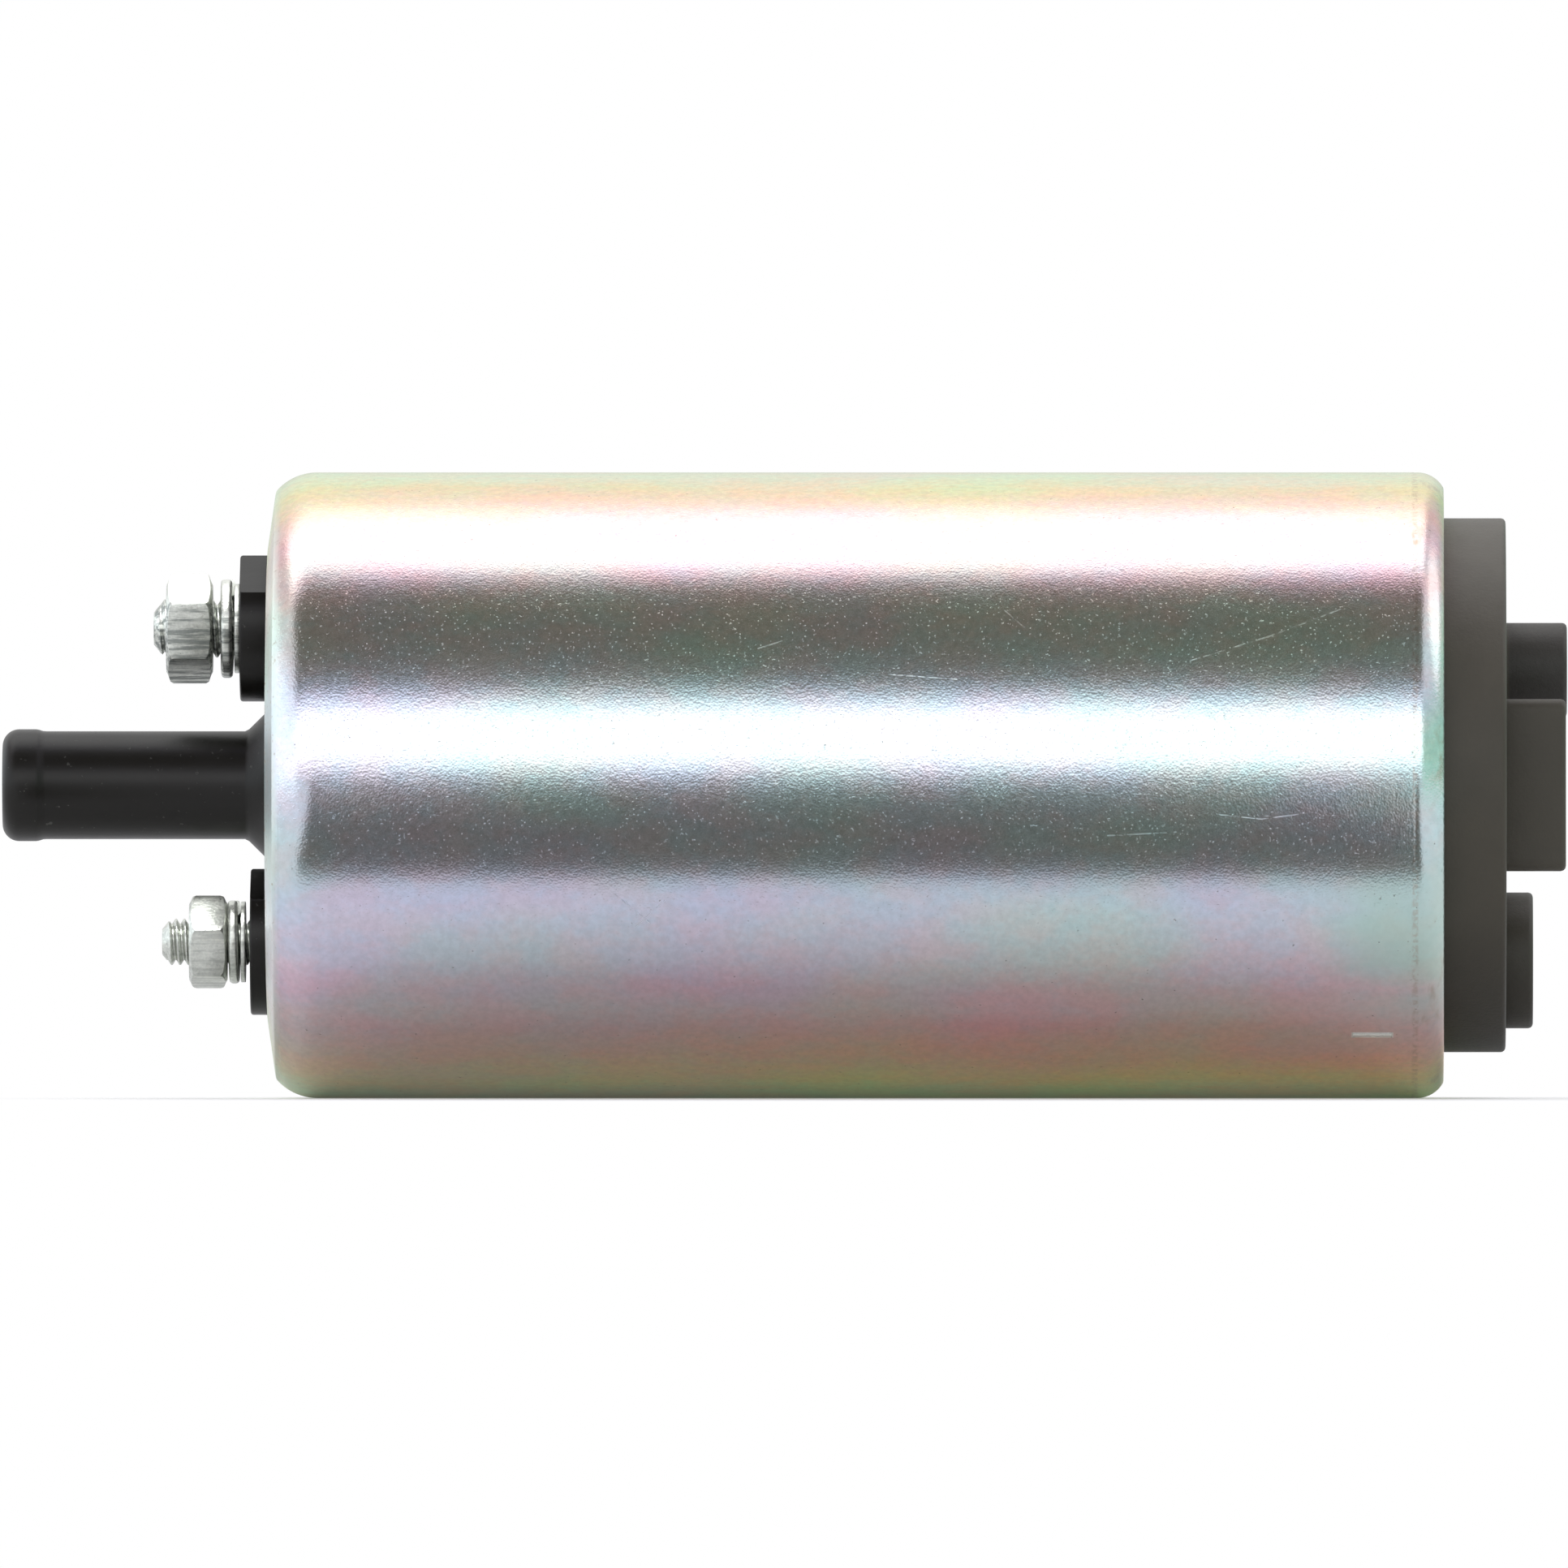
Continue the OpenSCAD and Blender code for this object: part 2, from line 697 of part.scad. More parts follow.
// Moves what is drawn along the local Z axis to a brush's line, pointing outwards
module at_brush(side) {
    translate([x_brush + brush_w / 2, 0, 0]) rotate([-side * 90, 0, 0]) children();
}

module brush(side) {
    difference() {
        block(side, x_brush, y_brush - 0.4, brush_h / 2, brush_w, brush_len + 0.4);
        bar(x_bars, x_bars + bars_len, y_brush);
    }
}

module brush_rear() {
    color([0.25, 0.25, 0.25]) brush(1);
}

module brush_front() {
    color([0.25, 0.25, 0.25]) brush(-1);
}

module brush_spring(side) {
    low = y_brush + brush_len + seat;
    at_brush(side) translate([0, 0, low]) spring(1.9, brush_wire, y_cap - seat - low, brush_turns);
}

module brush_spring_rear() {
    color([0.75, 0.75, 0.75]) brush_spring(1);
}

module brush_spring_front() {
    color([0.75, 0.75, 0.75]) brush_spring(-1);
}

module brush_shunt(side) {
    low = y_brush + brush_len + seat;
    at_brush(side) translate([0, 0, low]) cylinder(h = y_cap - seat - low, r = shunt_r);
}

module brush_shunt_rear() {
    color([0.75, 0.45, 0.3]) brush_shunt(1);
}

module brush_shunt_front() {
    color([0.75, 0.45, 0.3]) brush_shunt(-1);
}

module magnet(middle) {
    sector(x_magnet, x_magnet + magnet_len, cover_r, magnet_r, middle - magnet_arc / 2, magnet_arc);
}

module magnet_upper() {
    color([0.3, 0.3, 0.3]) magnet(90);
}

module magnet_lower() {
    color([0.3, 0.3, 0.3]) magnet(-90);
}

// Spring strip between the edges of the two magnets, with legs that press them apart
module magnet_clip(middle) {
    half = 90 - magnet_arc / 2 - 0.15;
    leg = clip_t / cover_r * 180 / PI;
    x0 = x_magnet + clip_inset;
    x1 = x_magnet + magnet_len - clip_inset;
    difference() {
        sector(x0, x1, cover_r, magnet_r + 1, middle - half, 2 * half);
        sector(x0 - 1, x1 + 1, cover_r - clip_t, magnet_r, middle - half + leg, 2 * (half - leg));
    }
}

module magnet_clip_rear() {
    color([0.6, 0.6, 0.6]) magnet_clip(0);
}

module magnet_clip_front() {
    color([0.6, 0.6, 0.6]) magnet_clip(180);
}

module rotor_shaft() {
    color([0.7, 0.7, 0.7]) difference() {
        lathe([[x_shaft, 0], [x_shaft, shaft_r - 0.3], [x_shaft + 0.3, shaft_r], [x_shaft_end - 0.3, shaft_r],
            [x_shaft_end, shaft_r - 0.3], [x_shaft_end, 0]]);
        translate([x_recess + flat_start, -shaft_r, shaft_r - flat_cut])
            cube([x_shaft_end - x_recess, shaft_d, shaft_d]);
    }
}

module slot_shape(play) {
    mouth = core_r - slot_top;
    translate([slot_root_r + slot_w / 2, 0]) circle(d = slot_w - 2 * play);
    translate([mouth - slot_w / 2, 0]) circle(d = slot_w - 2 * play);
    translate([slot_root_r + slot_w / 2, play - slot_w / 2])
        square([mouth - slot_root_r - slot_w, slot_w - 2 * play]);
}

module armature_core() {
    color([0.5, 0.5, 0.52]) difference() {
        bar(x_core, x_core + core_len, core_r);
        bar(x_core - 1, x_core + core_len + 1, shaft_r + seat);
        axial(x_core - 1) linear_extrude(core_len + 2)
            for (i = [0:slots - 1]) {
                rotate(360 * i / slots) {
                    slot_shape(0);
                    translate([core_r - slot_top - 1, -slot_mouth / 2]) square([slot_top + 2, slot_mouth]);
                }
            }
    }
}

// Rounded ring of end turns, from plane x towards +X or, for dir -1, towards -X
module end_turns(x, dir) {
    outer = core_r - slot_top + end_turn_over;
    round = end_turn_len / 3;
    mirror([dir < 0 ? 1 : 0, 0, 0]) lathe(concat(
        [[dir * x, end_turn_r], [dir * x, outer]],
        arc(dir * x + end_turn_len - round, outer - round, round, 0, 90),
        arc(dir * x + end_turn_len - round, end_turn_r + round, round, 90, 180)
    ));
}

module armature_windings() {
    out = x_core - insulator_t - seat;
    lead_r = commutator_r + riser_h / 2;
    color([0.72, 0.35, 0.15]) union() {
        axial(out - 0.1) linear_extrude(core_len + 2 * (insulator_t + seat + 0.1))
            for (i = [0:slots - 1]) {
                rotate(360 * i / slots) slot_shape(winding_play);
            }
        end_turns(out, -1);
        end_turns(x_core + core_len + insulator_t + seat, 1);
        for (i = [0:slots - 1]) {
            rotate([360 * (i + 0.5) / slots, 0, 0]) translate([0, lead_r, 0])
                bar(x_bars + bars_len + seat, out - 2, 0.45);
        }
    }
}

// Slotted washer of pressboard on each end of the core
module winding_insulators() {
    color([0.5, 0.3, 0.15]) for (x = [x_core - insulator_t - seat / 2, x_core + core_len + seat / 2]) {
        difference() {
            bar(x, x + insulator_t, core_r - 0.3);
            bar(x - 1, x + insulator_t + 1, shaft_r + seat);
            axial(x - 1) linear_extrude(insulator_t + 2)
                for (i = [0:slots - 1]) {
                    rotate(360 * i / slots) {
                        slot_shape(0);
                        translate([core_r - slot_top - 1, -slot_mouth / 2]) square([slot_top + 2, slot_mouth]);
                    }
                }
        }
    }
}

module commutator_hub() {
    color([0.3, 0.12, 0.08]) difference() {
        union() {
            bar(x_bars, x_bars + bars_len, commutator_r - bars_t - seat);
            bar(x_bars + bars_len - 0.1, x_core - insulator_t - seat, spacer_r);
        }
        bar(x_bars - 1, x_core, shaft_r + seat);
    }
}

module commutator_bars() {
    gap_angle = bars_gap / commutator_r * 180 / PI;
    sweep = 360 / slots - gap_angle;
    color([0.75, 0.42, 0.25]) for (i = [0:slots - 1]) {
        union() {
            sector(x_bars, x_bars + bars_len, commutator_r, commutator_r - bars_t, 360 * i / slots + gap_angle / 2, sweep);
            sector(x_bars + bars_len - riser_t, x_bars + bars_len, commutator_r + riser_h, commutator_r - 1,
                360 * (i + 0.5) / slots - sweep / 4, sweep / 2);
        }
    }
}

module thrust_washers() {
    color([0.6, 0.6, 0.55]) for (x = [x_hub + thrust_gap, x_casing_hub - thrust_gap - thrust_washer_t]) {
        tube(x, x + thrust_washer_t, thrust_washer_r, shaft_r + seat);
    }
}

module impeller() {
    x0 = x_recess + side_gap;
    vane_in = channel_r;
    pocket_depth = 0.4 * impeller_t;
    pocket_w = 0.62 * 2 * PI * (impeller_r - channel_w / 2) / vanes;
    color([0.25, 0.2, 0.15]) difference() {
        bar(x0, x0 + impeller_t, impeller_r);
        difference() {
            bar(x0 - 1, x0 + impeller_t + 1, shaft_r + seat);
            translate([x0 - 2, -shaft_r, shaft_r - flat_cut + seat]) cube([impeller_t + 4, shaft_d, shaft_d]);
        }
        for (i = [0:vanes - 1]) {
            axial(x0) rotate([0, 0, 360 * i / vanes]) {
                translate([vane_in, -pocket_w / 2, -1]) cube([impeller_r, pocket_w, pocket_depth + 1]);
                translate([vane_in, -pocket_w / 2, impeller_t - pocket_depth]) cube([impeller_r, pocket_w, pocket_depth + 1]);
            }
        }
        for (a = [45:90:315]) {
            translate([0, 9 * cos(a), 9 * sin(a)]) bar(x0 - 1, x0 + impeller_t + 1, 1.2);
        }
    }
}

module pump_casing() {
    seal_x = x_plate + casing_seal_inset;
    color([0.4, 0.4, 0.38]) difference() {
        union() {
            bar(x_plate, x_joint - seat, cover_r);
            tube(x_rim, x_plate + 1, cover_r, skirt_r);
            bar(x_casing_hub, x_plate + 1, hub_r);
        }
        bar(x_casing_hub - 1, x_joint + 1, shaft_r + 0.3);
        bar(x_casing_hub - 1, x_casing_hub + inlet_bush_len + seat, bush_r + fit);
        bar(x_recess, x_joint + 1, impeller_r + recess_gap);
        sector(x_recess - channel_depth, x_recess + 0.1, channel_r + channel_w, channel_r, channel_start, channel_sweep);
        rotate([port_angle, 0, 0]) translate([0, channel_r + channel_w / 2, 0]) bar(x_plate - 1, x_recess, port_r);
        tube(seal_x, seal_x + seal_groove, cover_r + 1, cover_r - seal_wire + fit);
    }
}

module casing_seal() {
    ring_r = cover_r - seal_wire / 2 + fit;
    color([0.1, 0.1, 0.1]) axial(x_plate + casing_seal_inset + seal_groove / 2)
        rotate_extrude() translate([ring_r, 0]) circle(d = seal_wire - fit);
}

module thrust_button() {
    color([0.7, 0.7, 0.72]) bar(x_shaft_end + end_play, x_shaft_end + end_play + thrust_button_t, thrust_button_r);
}

module pump_cover() {
    x_collar = x_disc + collar_h;
    color([0.25, 0.24, 0.22]) difference() {
        union() {
            lathe(concat(
                [[x_joint, 0], [x_joint, cover_r], [x_flange - 0.4, cover_r], [x_flange, cover_r - 0.4],
                 [x_flange, disc_r]],
                arc(x_disc - edge_round, disc_r - edge_round, edge_round, 0, 90, 5),
                [[x_disc, 0]]
            ));
            translate([0, post_at[0], post_at[1]]) post();
            translate([0, 0, -inlet_pitch]) lathe([[x_disc - 1, 0], [x_disc - 1, collar_d / 2],
                [x_collar - edge_round, collar_d / 2], [x_collar, collar_d / 2 - edge_round], [x_collar, 0]]);
            axial(x_disc - 1) linear_extrude(block_h + 1) locating_block();
        }
        translate([0, 0, -inlet_pitch]) bar(x_joint - 1, x_collar + 1, inlet_d / 2);
        sector(x_joint - 0.1, x_joint + channel_depth, channel_r + channel_w, channel_r, channel_start, channel_sweep);
        bar(x_joint - 1, x_shaft_end + end_play + thrust_button_t + seat, thrust_button_r + fit);
    }
}

module post() {
    top = x_disc + post_h;
    lathe([[x_disc - 1, 0], [x_disc - 1, post_d / 2], [top - edge_round, post_d / 2],
        [top, post_d / 2 - edge_round], [top, 0]]);
}

// Outline of the locating block in Y and Z, with round corners
module locating_block() {
    for (y = [block_round - block_front, block_depth - block_round - block_front]) {
        for (z = [block_round - block_w / 2, block_w / 2 - block_round]) {
            translate([y, z]) circle(r = block_round);
        }
    }
    translate([-block_front + block_round, -block_w / 2]) square([block_depth - 2 * block_round, block_w]);
    translate([-block_front, block_round - block_w / 2]) square([block_depth, block_w - 2 * block_round]);
}

housing_shell();
outlet_cover();
outlet_cover_seal();
terminal_stud_m5();
terminal_stud_m4();
flat_washer_m5();
flat_washer_m4();
lock_washer_m5();
lock_washer_m4();
nut_m5();
nut_m4();
terminal_lead_m5();
terminal_lead_m4();
choke_core_rear();
choke_core_front();
choke_coil_rear();
choke_coil_front();
choke_lead_rear();
choke_lead_front();
check_valve_seat();
check_valve_poppet();
check_valve_washer();
check_valve_spring();
relief_valve_seat();
relief_valve_ball();
relief_valve_spring();
relief_valve_cap();
outlet_bearing();
brush_holder();
brush_cap_rear();
brush_cap_front();
brush_spring_rear();
brush_spring_front();
brush_shunt_rear();
brush_shunt_front();
brush_rear();
brush_front();
magnet_upper();
magnet_lower();
magnet_clip_rear();
magnet_clip_front();
rotor_shaft();
armature_core();
armature_windings();
winding_insulators();
commutator_hub();
commutator_bars();
thrust_washers();
impeller();
pump_casing();
inlet_bearing();
thrust_button();
casing_seal();
pump_cover();
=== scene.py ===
# %% [markdown]
# # In-tank fuel pump
# The pump hangs in a car's fuel tank and pushes petrol to the engine. An electric motor turns a small vaned
# wheel at the inlet end; the fuel runs past the motor and leaves through the hose nipple at the other end.
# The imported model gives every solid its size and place. This script dresses it: it remakes the outer pieces
# with finer edges and real threads, and gives each piece a finish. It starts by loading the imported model.

import json
import math

import bmesh
import bpy
from mathutils import Matrix, Vector


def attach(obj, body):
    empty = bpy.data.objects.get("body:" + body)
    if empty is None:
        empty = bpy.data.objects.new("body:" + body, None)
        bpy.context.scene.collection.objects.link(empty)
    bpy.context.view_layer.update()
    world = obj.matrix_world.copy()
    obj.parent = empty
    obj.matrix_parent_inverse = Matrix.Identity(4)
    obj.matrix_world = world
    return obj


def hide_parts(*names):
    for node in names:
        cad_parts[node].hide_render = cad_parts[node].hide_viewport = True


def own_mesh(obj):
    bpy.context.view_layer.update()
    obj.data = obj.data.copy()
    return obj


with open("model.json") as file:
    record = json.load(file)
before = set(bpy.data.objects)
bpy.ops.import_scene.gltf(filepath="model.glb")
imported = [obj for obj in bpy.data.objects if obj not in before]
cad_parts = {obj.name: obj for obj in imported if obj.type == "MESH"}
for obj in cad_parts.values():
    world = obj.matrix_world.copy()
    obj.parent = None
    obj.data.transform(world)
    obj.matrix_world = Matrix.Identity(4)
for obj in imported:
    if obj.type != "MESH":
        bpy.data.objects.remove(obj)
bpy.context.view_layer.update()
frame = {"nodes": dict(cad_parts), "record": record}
scene = bpy.context.scene

# %% [markdown]
# ## Camera
# The photograph was taken with a long lens, almost square on: hardly any of the pump's ends shows. A long
# lens far away gives the same flat view, so the camera stands 4.6 m off and a little to the inlet's side.

# %% Place the camera
MM = 0.001
camera_data = bpy.data.cameras.new("Long_Lens")
camera_data.sensor_width = 36
camera_data.lens = 1258.6
camera_data.clip_end = 20
camera = bpy.data.objects.new("Camera", camera_data)
camera.location = (0.0317, -4.59985, 0.0001)
aim = Vector((-0.00603, 0, 0.0001))
camera.rotation_euler = (aim - camera.location).to_track_quat("-Z", "Y").to_euler()
scene.collection.objects.link(camera)
scene.camera = camera
print("camera distance", round((aim - camera.location).length, 3), "m")

# %% [markdown]
# ## A small language for finishes
# Materials and the sky are node trees. Writing them as sums keeps them readable: a Wire is one output of a
# node, and adding or multiplying wires adds the Math node that does it. Colours and vectors go through
# Vector Math, because a Math node would turn them grey. One method, add, makes any other node.


# %% Wires and nodes
class Wire:
    """One output of a node tree. A sum written with it adds the nodes that work it out."""

    def __init__(self, nodes, socket):
        self.nodes, self.socket = nodes, socket

    def work(self, operation, first, second):
        vector = any(isinstance(value, tuple) or isinstance(value, Wire) and value.socket.type != "VALUE"
                     for value in (first, second))
        kind = "VectorMath" if vector else "Math"
        return self.nodes.add(kind, {"operation": operation}, {0: first, 1: second})

    def __add__(self, other):
        return self.work("ADD", self, other)

    def __radd__(self, other):
        return self.work("ADD", other, self)

    def __sub__(self, other):
        return self.work("SUBTRACT", self, other)

    def __rsub__(self, other):
        return self.work("SUBTRACT", other, self)

    def __mul__(self, other):
        return self.work("MULTIPLY", self, other)

    def __truediv__(self, other):
        return self.work("DIVIDE", self, other)

    def __pow__(self, other):
        return self.work("POWER", self, other)

    def __abs__(self):
        return self.nodes.add("Math", {"operation": "ABSOLUTE"}, {0: self})

    def least(self, other):
        return self.work("MINIMUM", self, other)

    def most(self, other):
        return self.work("MAXIMUM", self, other)

    def length(self):
        return self.nodes.add("VectorMath", {"operation": "LENGTH"}, {0: self}, out="Value")

    def dot(self, other):
        return self.nodes.add("VectorMath", {"operation": "DOT_PRODUCT"}, {0: self, 1: other}, out="Value")

    def ramp(self, low, high):
        """0 below low and 1 above high, with a soft change between them; low may be the larger one."""
        settings = {"interpolation_type": "SMOOTHSTEP", "clamp": True}
        inputs = {"Value": self, "From Min": low, "From Max": high}
        return self.nodes.add("MapRange", settings, inputs)

    def parts(self):
        split = self.nodes.add("SeparateXYZ", {}, {0: self})
        return [Wire(self.nodes, socket) for socket in split.socket.node.outputs]


class Nodes:
    """The node tree of a material or of the world."""

    def __init__(self, owner):
        owner.use_nodes = True
        self.tree = owner.node_tree
        self.tree.nodes.clear()

    def add(self, kind, settings=None, inputs=None, out=0):
        """Adds a node: its settings first, then the values or wires of its inputs. Returns one output."""
        node = self.tree.nodes.new("ShaderNode" + kind)
        for name, value in (settings or {}).items():
            if name == "stops":
                self.set_stops(node.color_ramp, value)
            else:
                setattr(node, name, value)
        for name, value in (inputs or {}).items():
            socket = node.inputs[name]
            if isinstance(value, Wire):
                self.tree.links.new(value.socket, socket)
            elif socket.type == "RGBA":
                socket.default_value = (*value, 1)
            elif socket.type == "VECTOR" and not isinstance(value, tuple):
                socket.default_value = (value, value, value)
            else:
                socket.default_value = value
        return Wire(self, node.outputs[out]) if node.outputs else None

    def set_stops(self, ramp, stops):
        while len(ramp.elements) < len(stops):
            ramp.elements.new(1)
        for element, (position, colour) in zip(ramp.elements, stops):
            element.position = position
            element.color = (*colour, 1) if isinstance(colour, tuple) else (colour, colour, colour, 1)

    def stops(self, wire, stops):
        return self.add("ValToRGB", {"stops": stops}, {"Fac": wire})

    def mix(self, share, first, second):
        """Goes from the first colour to the second as the share goes from 0 to 1."""
        return self.add("Mix", {"data_type": "RGBA"}, {0: share, 6: first, 7: second}, out=2)

    def noise(self, place, size, detail=3.0, rough=0.55):
        """Even noise round 0.5. Size is how far apart its patches are, in the units of the place."""
        inputs = {"Vector": place, "Scale": 1 / size, "Detail": detail, "Roughness": rough}
        return self.add("TexNoise", {}, inputs)

    def bump(self, height, depth, under=None):
        """A bump whose height of 1 stands that many millimetres high."""
        inputs = {"Height": height, "Distance": depth * MM, "Strength": 1.0}
        if under:
            inputs["Normal"] = under
        return self.add("Bump", {}, inputs)


print("shader language ready")

# %% [markdown]
# ## Light
# Bare metal shows the room it stands in. The bright bands along the shell are two long softboxes and a
# white wall behind; the dark ones are the unlit room between them, and the softboxes fall off into it
# bluish. The sky is painted by direction: the angle is measured round the pump's own axis, 0 at the front
# and 90 overhead. A pale wall on each side ends the bands where the shell's corners turn away, and a small
# softbox lights the crimped rim from the right. What the camera sees directly is white.

# %% Paint the studio round the pump
def angle_stops(bands):
    """Stops of a ramp that runs from -180 to 180 degrees, from (degrees, brightness, tint) sets."""
    return [((degrees + 180) / 360, tuple(level * part / SKY_TOP for part in tint))
            for degrees, level, tint in bands]


SKY_TOP = 3.0
NEUTRAL, ROOM, EDGE = (1.0, 1.0, 1.0), (1.08, 1.0, 0.88), (1.02, 0.97, 1.30)
SKY_BANDS = [
    (-180, 0.5, NEUTRAL), (-40, 0.17, ROOM), (3.5, 0.145, ROOM),
    (6, 1.1, EDGE), (8.5, 2.1, NEUTRAL), (27, 2.1, NEUTRAL), (31, 1.1, EDGE),
    (35, 0.13, ROOM), (81, 0.115, ROOM),
    (86, 1.3, EDGE), (91, 2.3, NEUTRAL), (116, 2.2, NEUTRAL),
    (128, 1.15, NEUTRAL), (165, 0.9, NEUTRAL), (180, 0.6, NEUTRAL),
]
# The walls' colours low down and high up, in shares of SKY_TOP like the bands.
LEFT_WALL = (0.50, 0.53, 0.56), (0.26, 0.24, 0.26)
RIGHT_WALL = (0.17, 0.24, 0.20), (0.27, 0.26, 0.29)
SMALL_BOX, SMALL_BOX_WAY = (0.50, 0.50, 0.52), (0.739, 0.075, 0.67)
world = bpy.data.worlds.new("Studio")
scene.world = world
sky = Nodes(world)
ray = sky.add("TexCoord", out="Generated")
ray_x, ray_y, ray_z = ray.parts()
round_axis = sky.add("Math", {"operation": "ARCTAN2"}, {0: ray_z, 1: ray_y * -1})
bands = sky.stops(round_axis / (2 * math.pi) + 0.5, angle_stops(SKY_BANDS))
left_wall = sky.mix(ray_z.ramp(0.3, 0.65), *LEFT_WALL)
right_wall = sky.mix(ray_z.ramp(0.2, 0.6), *RIGHT_WALL)
right_wall = sky.mix(ray.dot(SMALL_BOX_WAY).ramp(0.915, 0.955), right_wall, SMALL_BOX)
room = sky.mix(ray_x.ramp(-0.50, -0.64), bands, left_wall)
room = sky.mix(ray_x.ramp(0.20, 0.36), room, right_wall)
lit = sky.add("Background", {}, {"Color": room, "Strength": SKY_TOP})
white = sky.add("Background", {}, {"Color": NEUTRAL, "Strength": 1.0})
seen = sky.add("LightPath", out="Is Camera Ray")
sky.add("OutputWorld", {}, {"Surface": sky.add("MixShader", {}, {0: seen, 1: lit, 2: white})})
print("sky bands", len(SKY_BANDS))

# %% [markdown]
# ## Floor
# The pump lies on a pale table. Near the pump the table is a plain matt white that keeps the soft contact
# shadow; further off it turns to the white of the background, so that no horizon shows. Right round the pump
# the table also glows faintly for every ray but the camera's: painted light that lightens the contact shadow
# where the shell's underside mirrors it. A dark cloth lies on the table in front and hangs up at its far end,
# as photographers do to keep an edge on polished metal. Only reflections see it. It reaches no further left
# than the nipple, so that the rolled shoulder still mirrors the pale table.

# %% Lay the floor and the dark cloth
FLOOR_Z, FLOOR_HALF = -26.27, 6000
NEAR_HALF, NEAR_PULL = 45.0, 1.8
CLOTH_X, CLOTH_Y, CLOTH_HALF_X, CLOTH_HALF_Y, CLOTH_LIFT, HEM_RISE = -7, -170, 64, 118, 0.4, 42


def flat_sheet(name, x, y, z, half_x, half_y):
    """A level stage sheet round (x, y, z), in millimetres."""
    bm = bmesh.new()
    bmesh.ops.create_grid(bm, x_segments=1, y_segments=1, size=1)
    bmesh.ops.scale(bm, vec=(half_x * MM, half_y * MM, 1), verts=bm.verts)
    bmesh.ops.translate(bm, vec=(x * MM, y * MM, z * MM), verts=bm.verts)
    mesh = bpy.data.meshes.new(name)
    bm.to_mesh(mesh)
    bm.free()
    obj = bpy.data.objects.new(name, mesh)
    scene.collection.objects.link(obj)
    return obj


floor = flat_sheet("Floor", 0, 0, FLOOR_Z, FLOOR_HALF, FLOOR_HALF)
floor_paint = bpy.data.materials.new("Pale_Table")
table = Nodes(floor_paint)
table_x, table_y = (table.add("TexCoord", out="Object") * (1 / MM)).parts()[:2]
past_end = (abs(table_x) - NEAR_HALF).most(0.0) * NEAR_PULL
from_pump = (past_end * past_end + table_y * table_y) ** 0.5
seen = table.add("LightPath", out="Is Camera Ray")
matt = table.add("BsdfDiffuse", {}, {"Color": (0.82, 0.82, 0.82)})
lift = table.add("Emission", {}, {"Color": NEUTRAL, "Strength": 0.25})
glow = table.add("Emission", {}, {"Color": NEUTRAL, "Strength": 1.0})
lifted = table.add("AddShader", {}, {0: matt, 1: lift})
# Painted light: a faint glow in the contact shadow right round the pump, seen by every ray but the camera's.
painted_glow_under_pump = table.add("MixShader", {}, {0: from_pump.ramp(18, 6) * 0.06, 1: matt, 2: glow})
near = table.add("MixShader", {}, {0: seen, 1: painted_glow_under_pump, 2: lifted})
top = table.add("MixShader", {}, {0: from_pump.ramp(6, 75) * seen, 1: near, 2: glow})
table.add("OutputMaterial", {}, {"Surface": top})
floor.data.materials.append(floor_paint)

cloth = flat_sheet("Dark_Cloth", CLOTH_X, CLOTH_Y, FLOOR_Z + CLOTH_LIFT, CLOTH_HALF_X, CLOTH_HALF_Y)
raised = bmesh.new()
raised.from_mesh(cloth.data)
hem_y = (CLOTH_Y - CLOTH_HALF_Y + 1) * MM
hem = [edge for edge in raised.edges if all(vert.co.y < hem_y for vert in edge.verts)]
standing = [item for item in bmesh.ops.extrude_edge_only(raised, edges=hem)["geom"]
            if isinstance(item, bmesh.types.BMVert)]
bmesh.ops.translate(raised, vec=(0, 0, HEM_RISE * MM), verts=standing)
raised.to_mesh(cloth.data)
raised.free()
cloth_paint = bpy.data.materials.new("Dark_Cloth")
weave = Nodes(cloth_paint)
dark = weave.add("Emission", {}, {"Color": (1.0, 0.93, 0.82), "Strength": 0.145})
weave.add("OutputMaterial", {}, {"Surface": dark})
cloth.data.materials.append(cloth_paint)
cloth.visible_camera = cloth.visible_diffuse = cloth.visible_shadow = False
print("floor at", FLOOR_Z, "mm")

# %% [markdown]
# ## Finishes
# Each finish is a function that returns the sockets of one Principled shader. The decorator hands it the
# tree and the place on the piece in millimetres, so that a grain size is written as it would be measured.

# %% The finish decorator
FINISH = {}


def finish(slot):
    """Makes the material of a slot from what the function below it returns."""
    def make(paint):
        material = bpy.data.materials.new(slot)
        nodes = Nodes(material)
        place = nodes.add("TexCoord", out="Object") * (1 / MM)
        shader = nodes.add("BsdfPrincipled", {}, paint(nodes, place))
        nodes.add("OutputMaterial", {}, {"Surface": shader})
        FINISH[slot] = material
        return paint
    return make


# %% [markdown]
# ### Plated shell
# The steel shell is zinc plated and passivated. That film is thin enough to show colours, which change as
# its surface turns away from the eye. Here they are painted into the surface colour in bands by height on
# the shell, as they look from the front: pale green level with the axis, then pink, yellow and olive. That
# is the film's own colour with a painted sheen. Patches of slow noise push the bands about, and the fine
# crystals of the plating sparkle in the dark ones.

# %% The film and its scratches
STAKE_ANGLE, STAKE_SPOT = 52.7, (-15.84, -20.8)
# Colours of the film with its painted sheen, by height on the shell: from level with the axis (0), where the
# surface faces the camera, to the top and bottom (1), where it turns away.
FILM_AND_SHEEN_BANDS = [
    (0.0, (0.64, 0.74, 0.81)), (0.25, (0.61, 0.69, 0.78)), (0.42, (0.66, 0.77, 0.76)),
    (0.56, (0.74, 0.76, 0.72)), (0.655, (0.74, 0.61, 0.61)), (0.71, (0.72, 0.62, 0.61)),
    (0.777, (0.72, 0.53, 0.53)), (0.866, (0.76, 0.55, 0.45)), (0.94, (0.78, 0.70, 0.38)),
    (0.985, (0.72, 0.80, 0.50)),
]
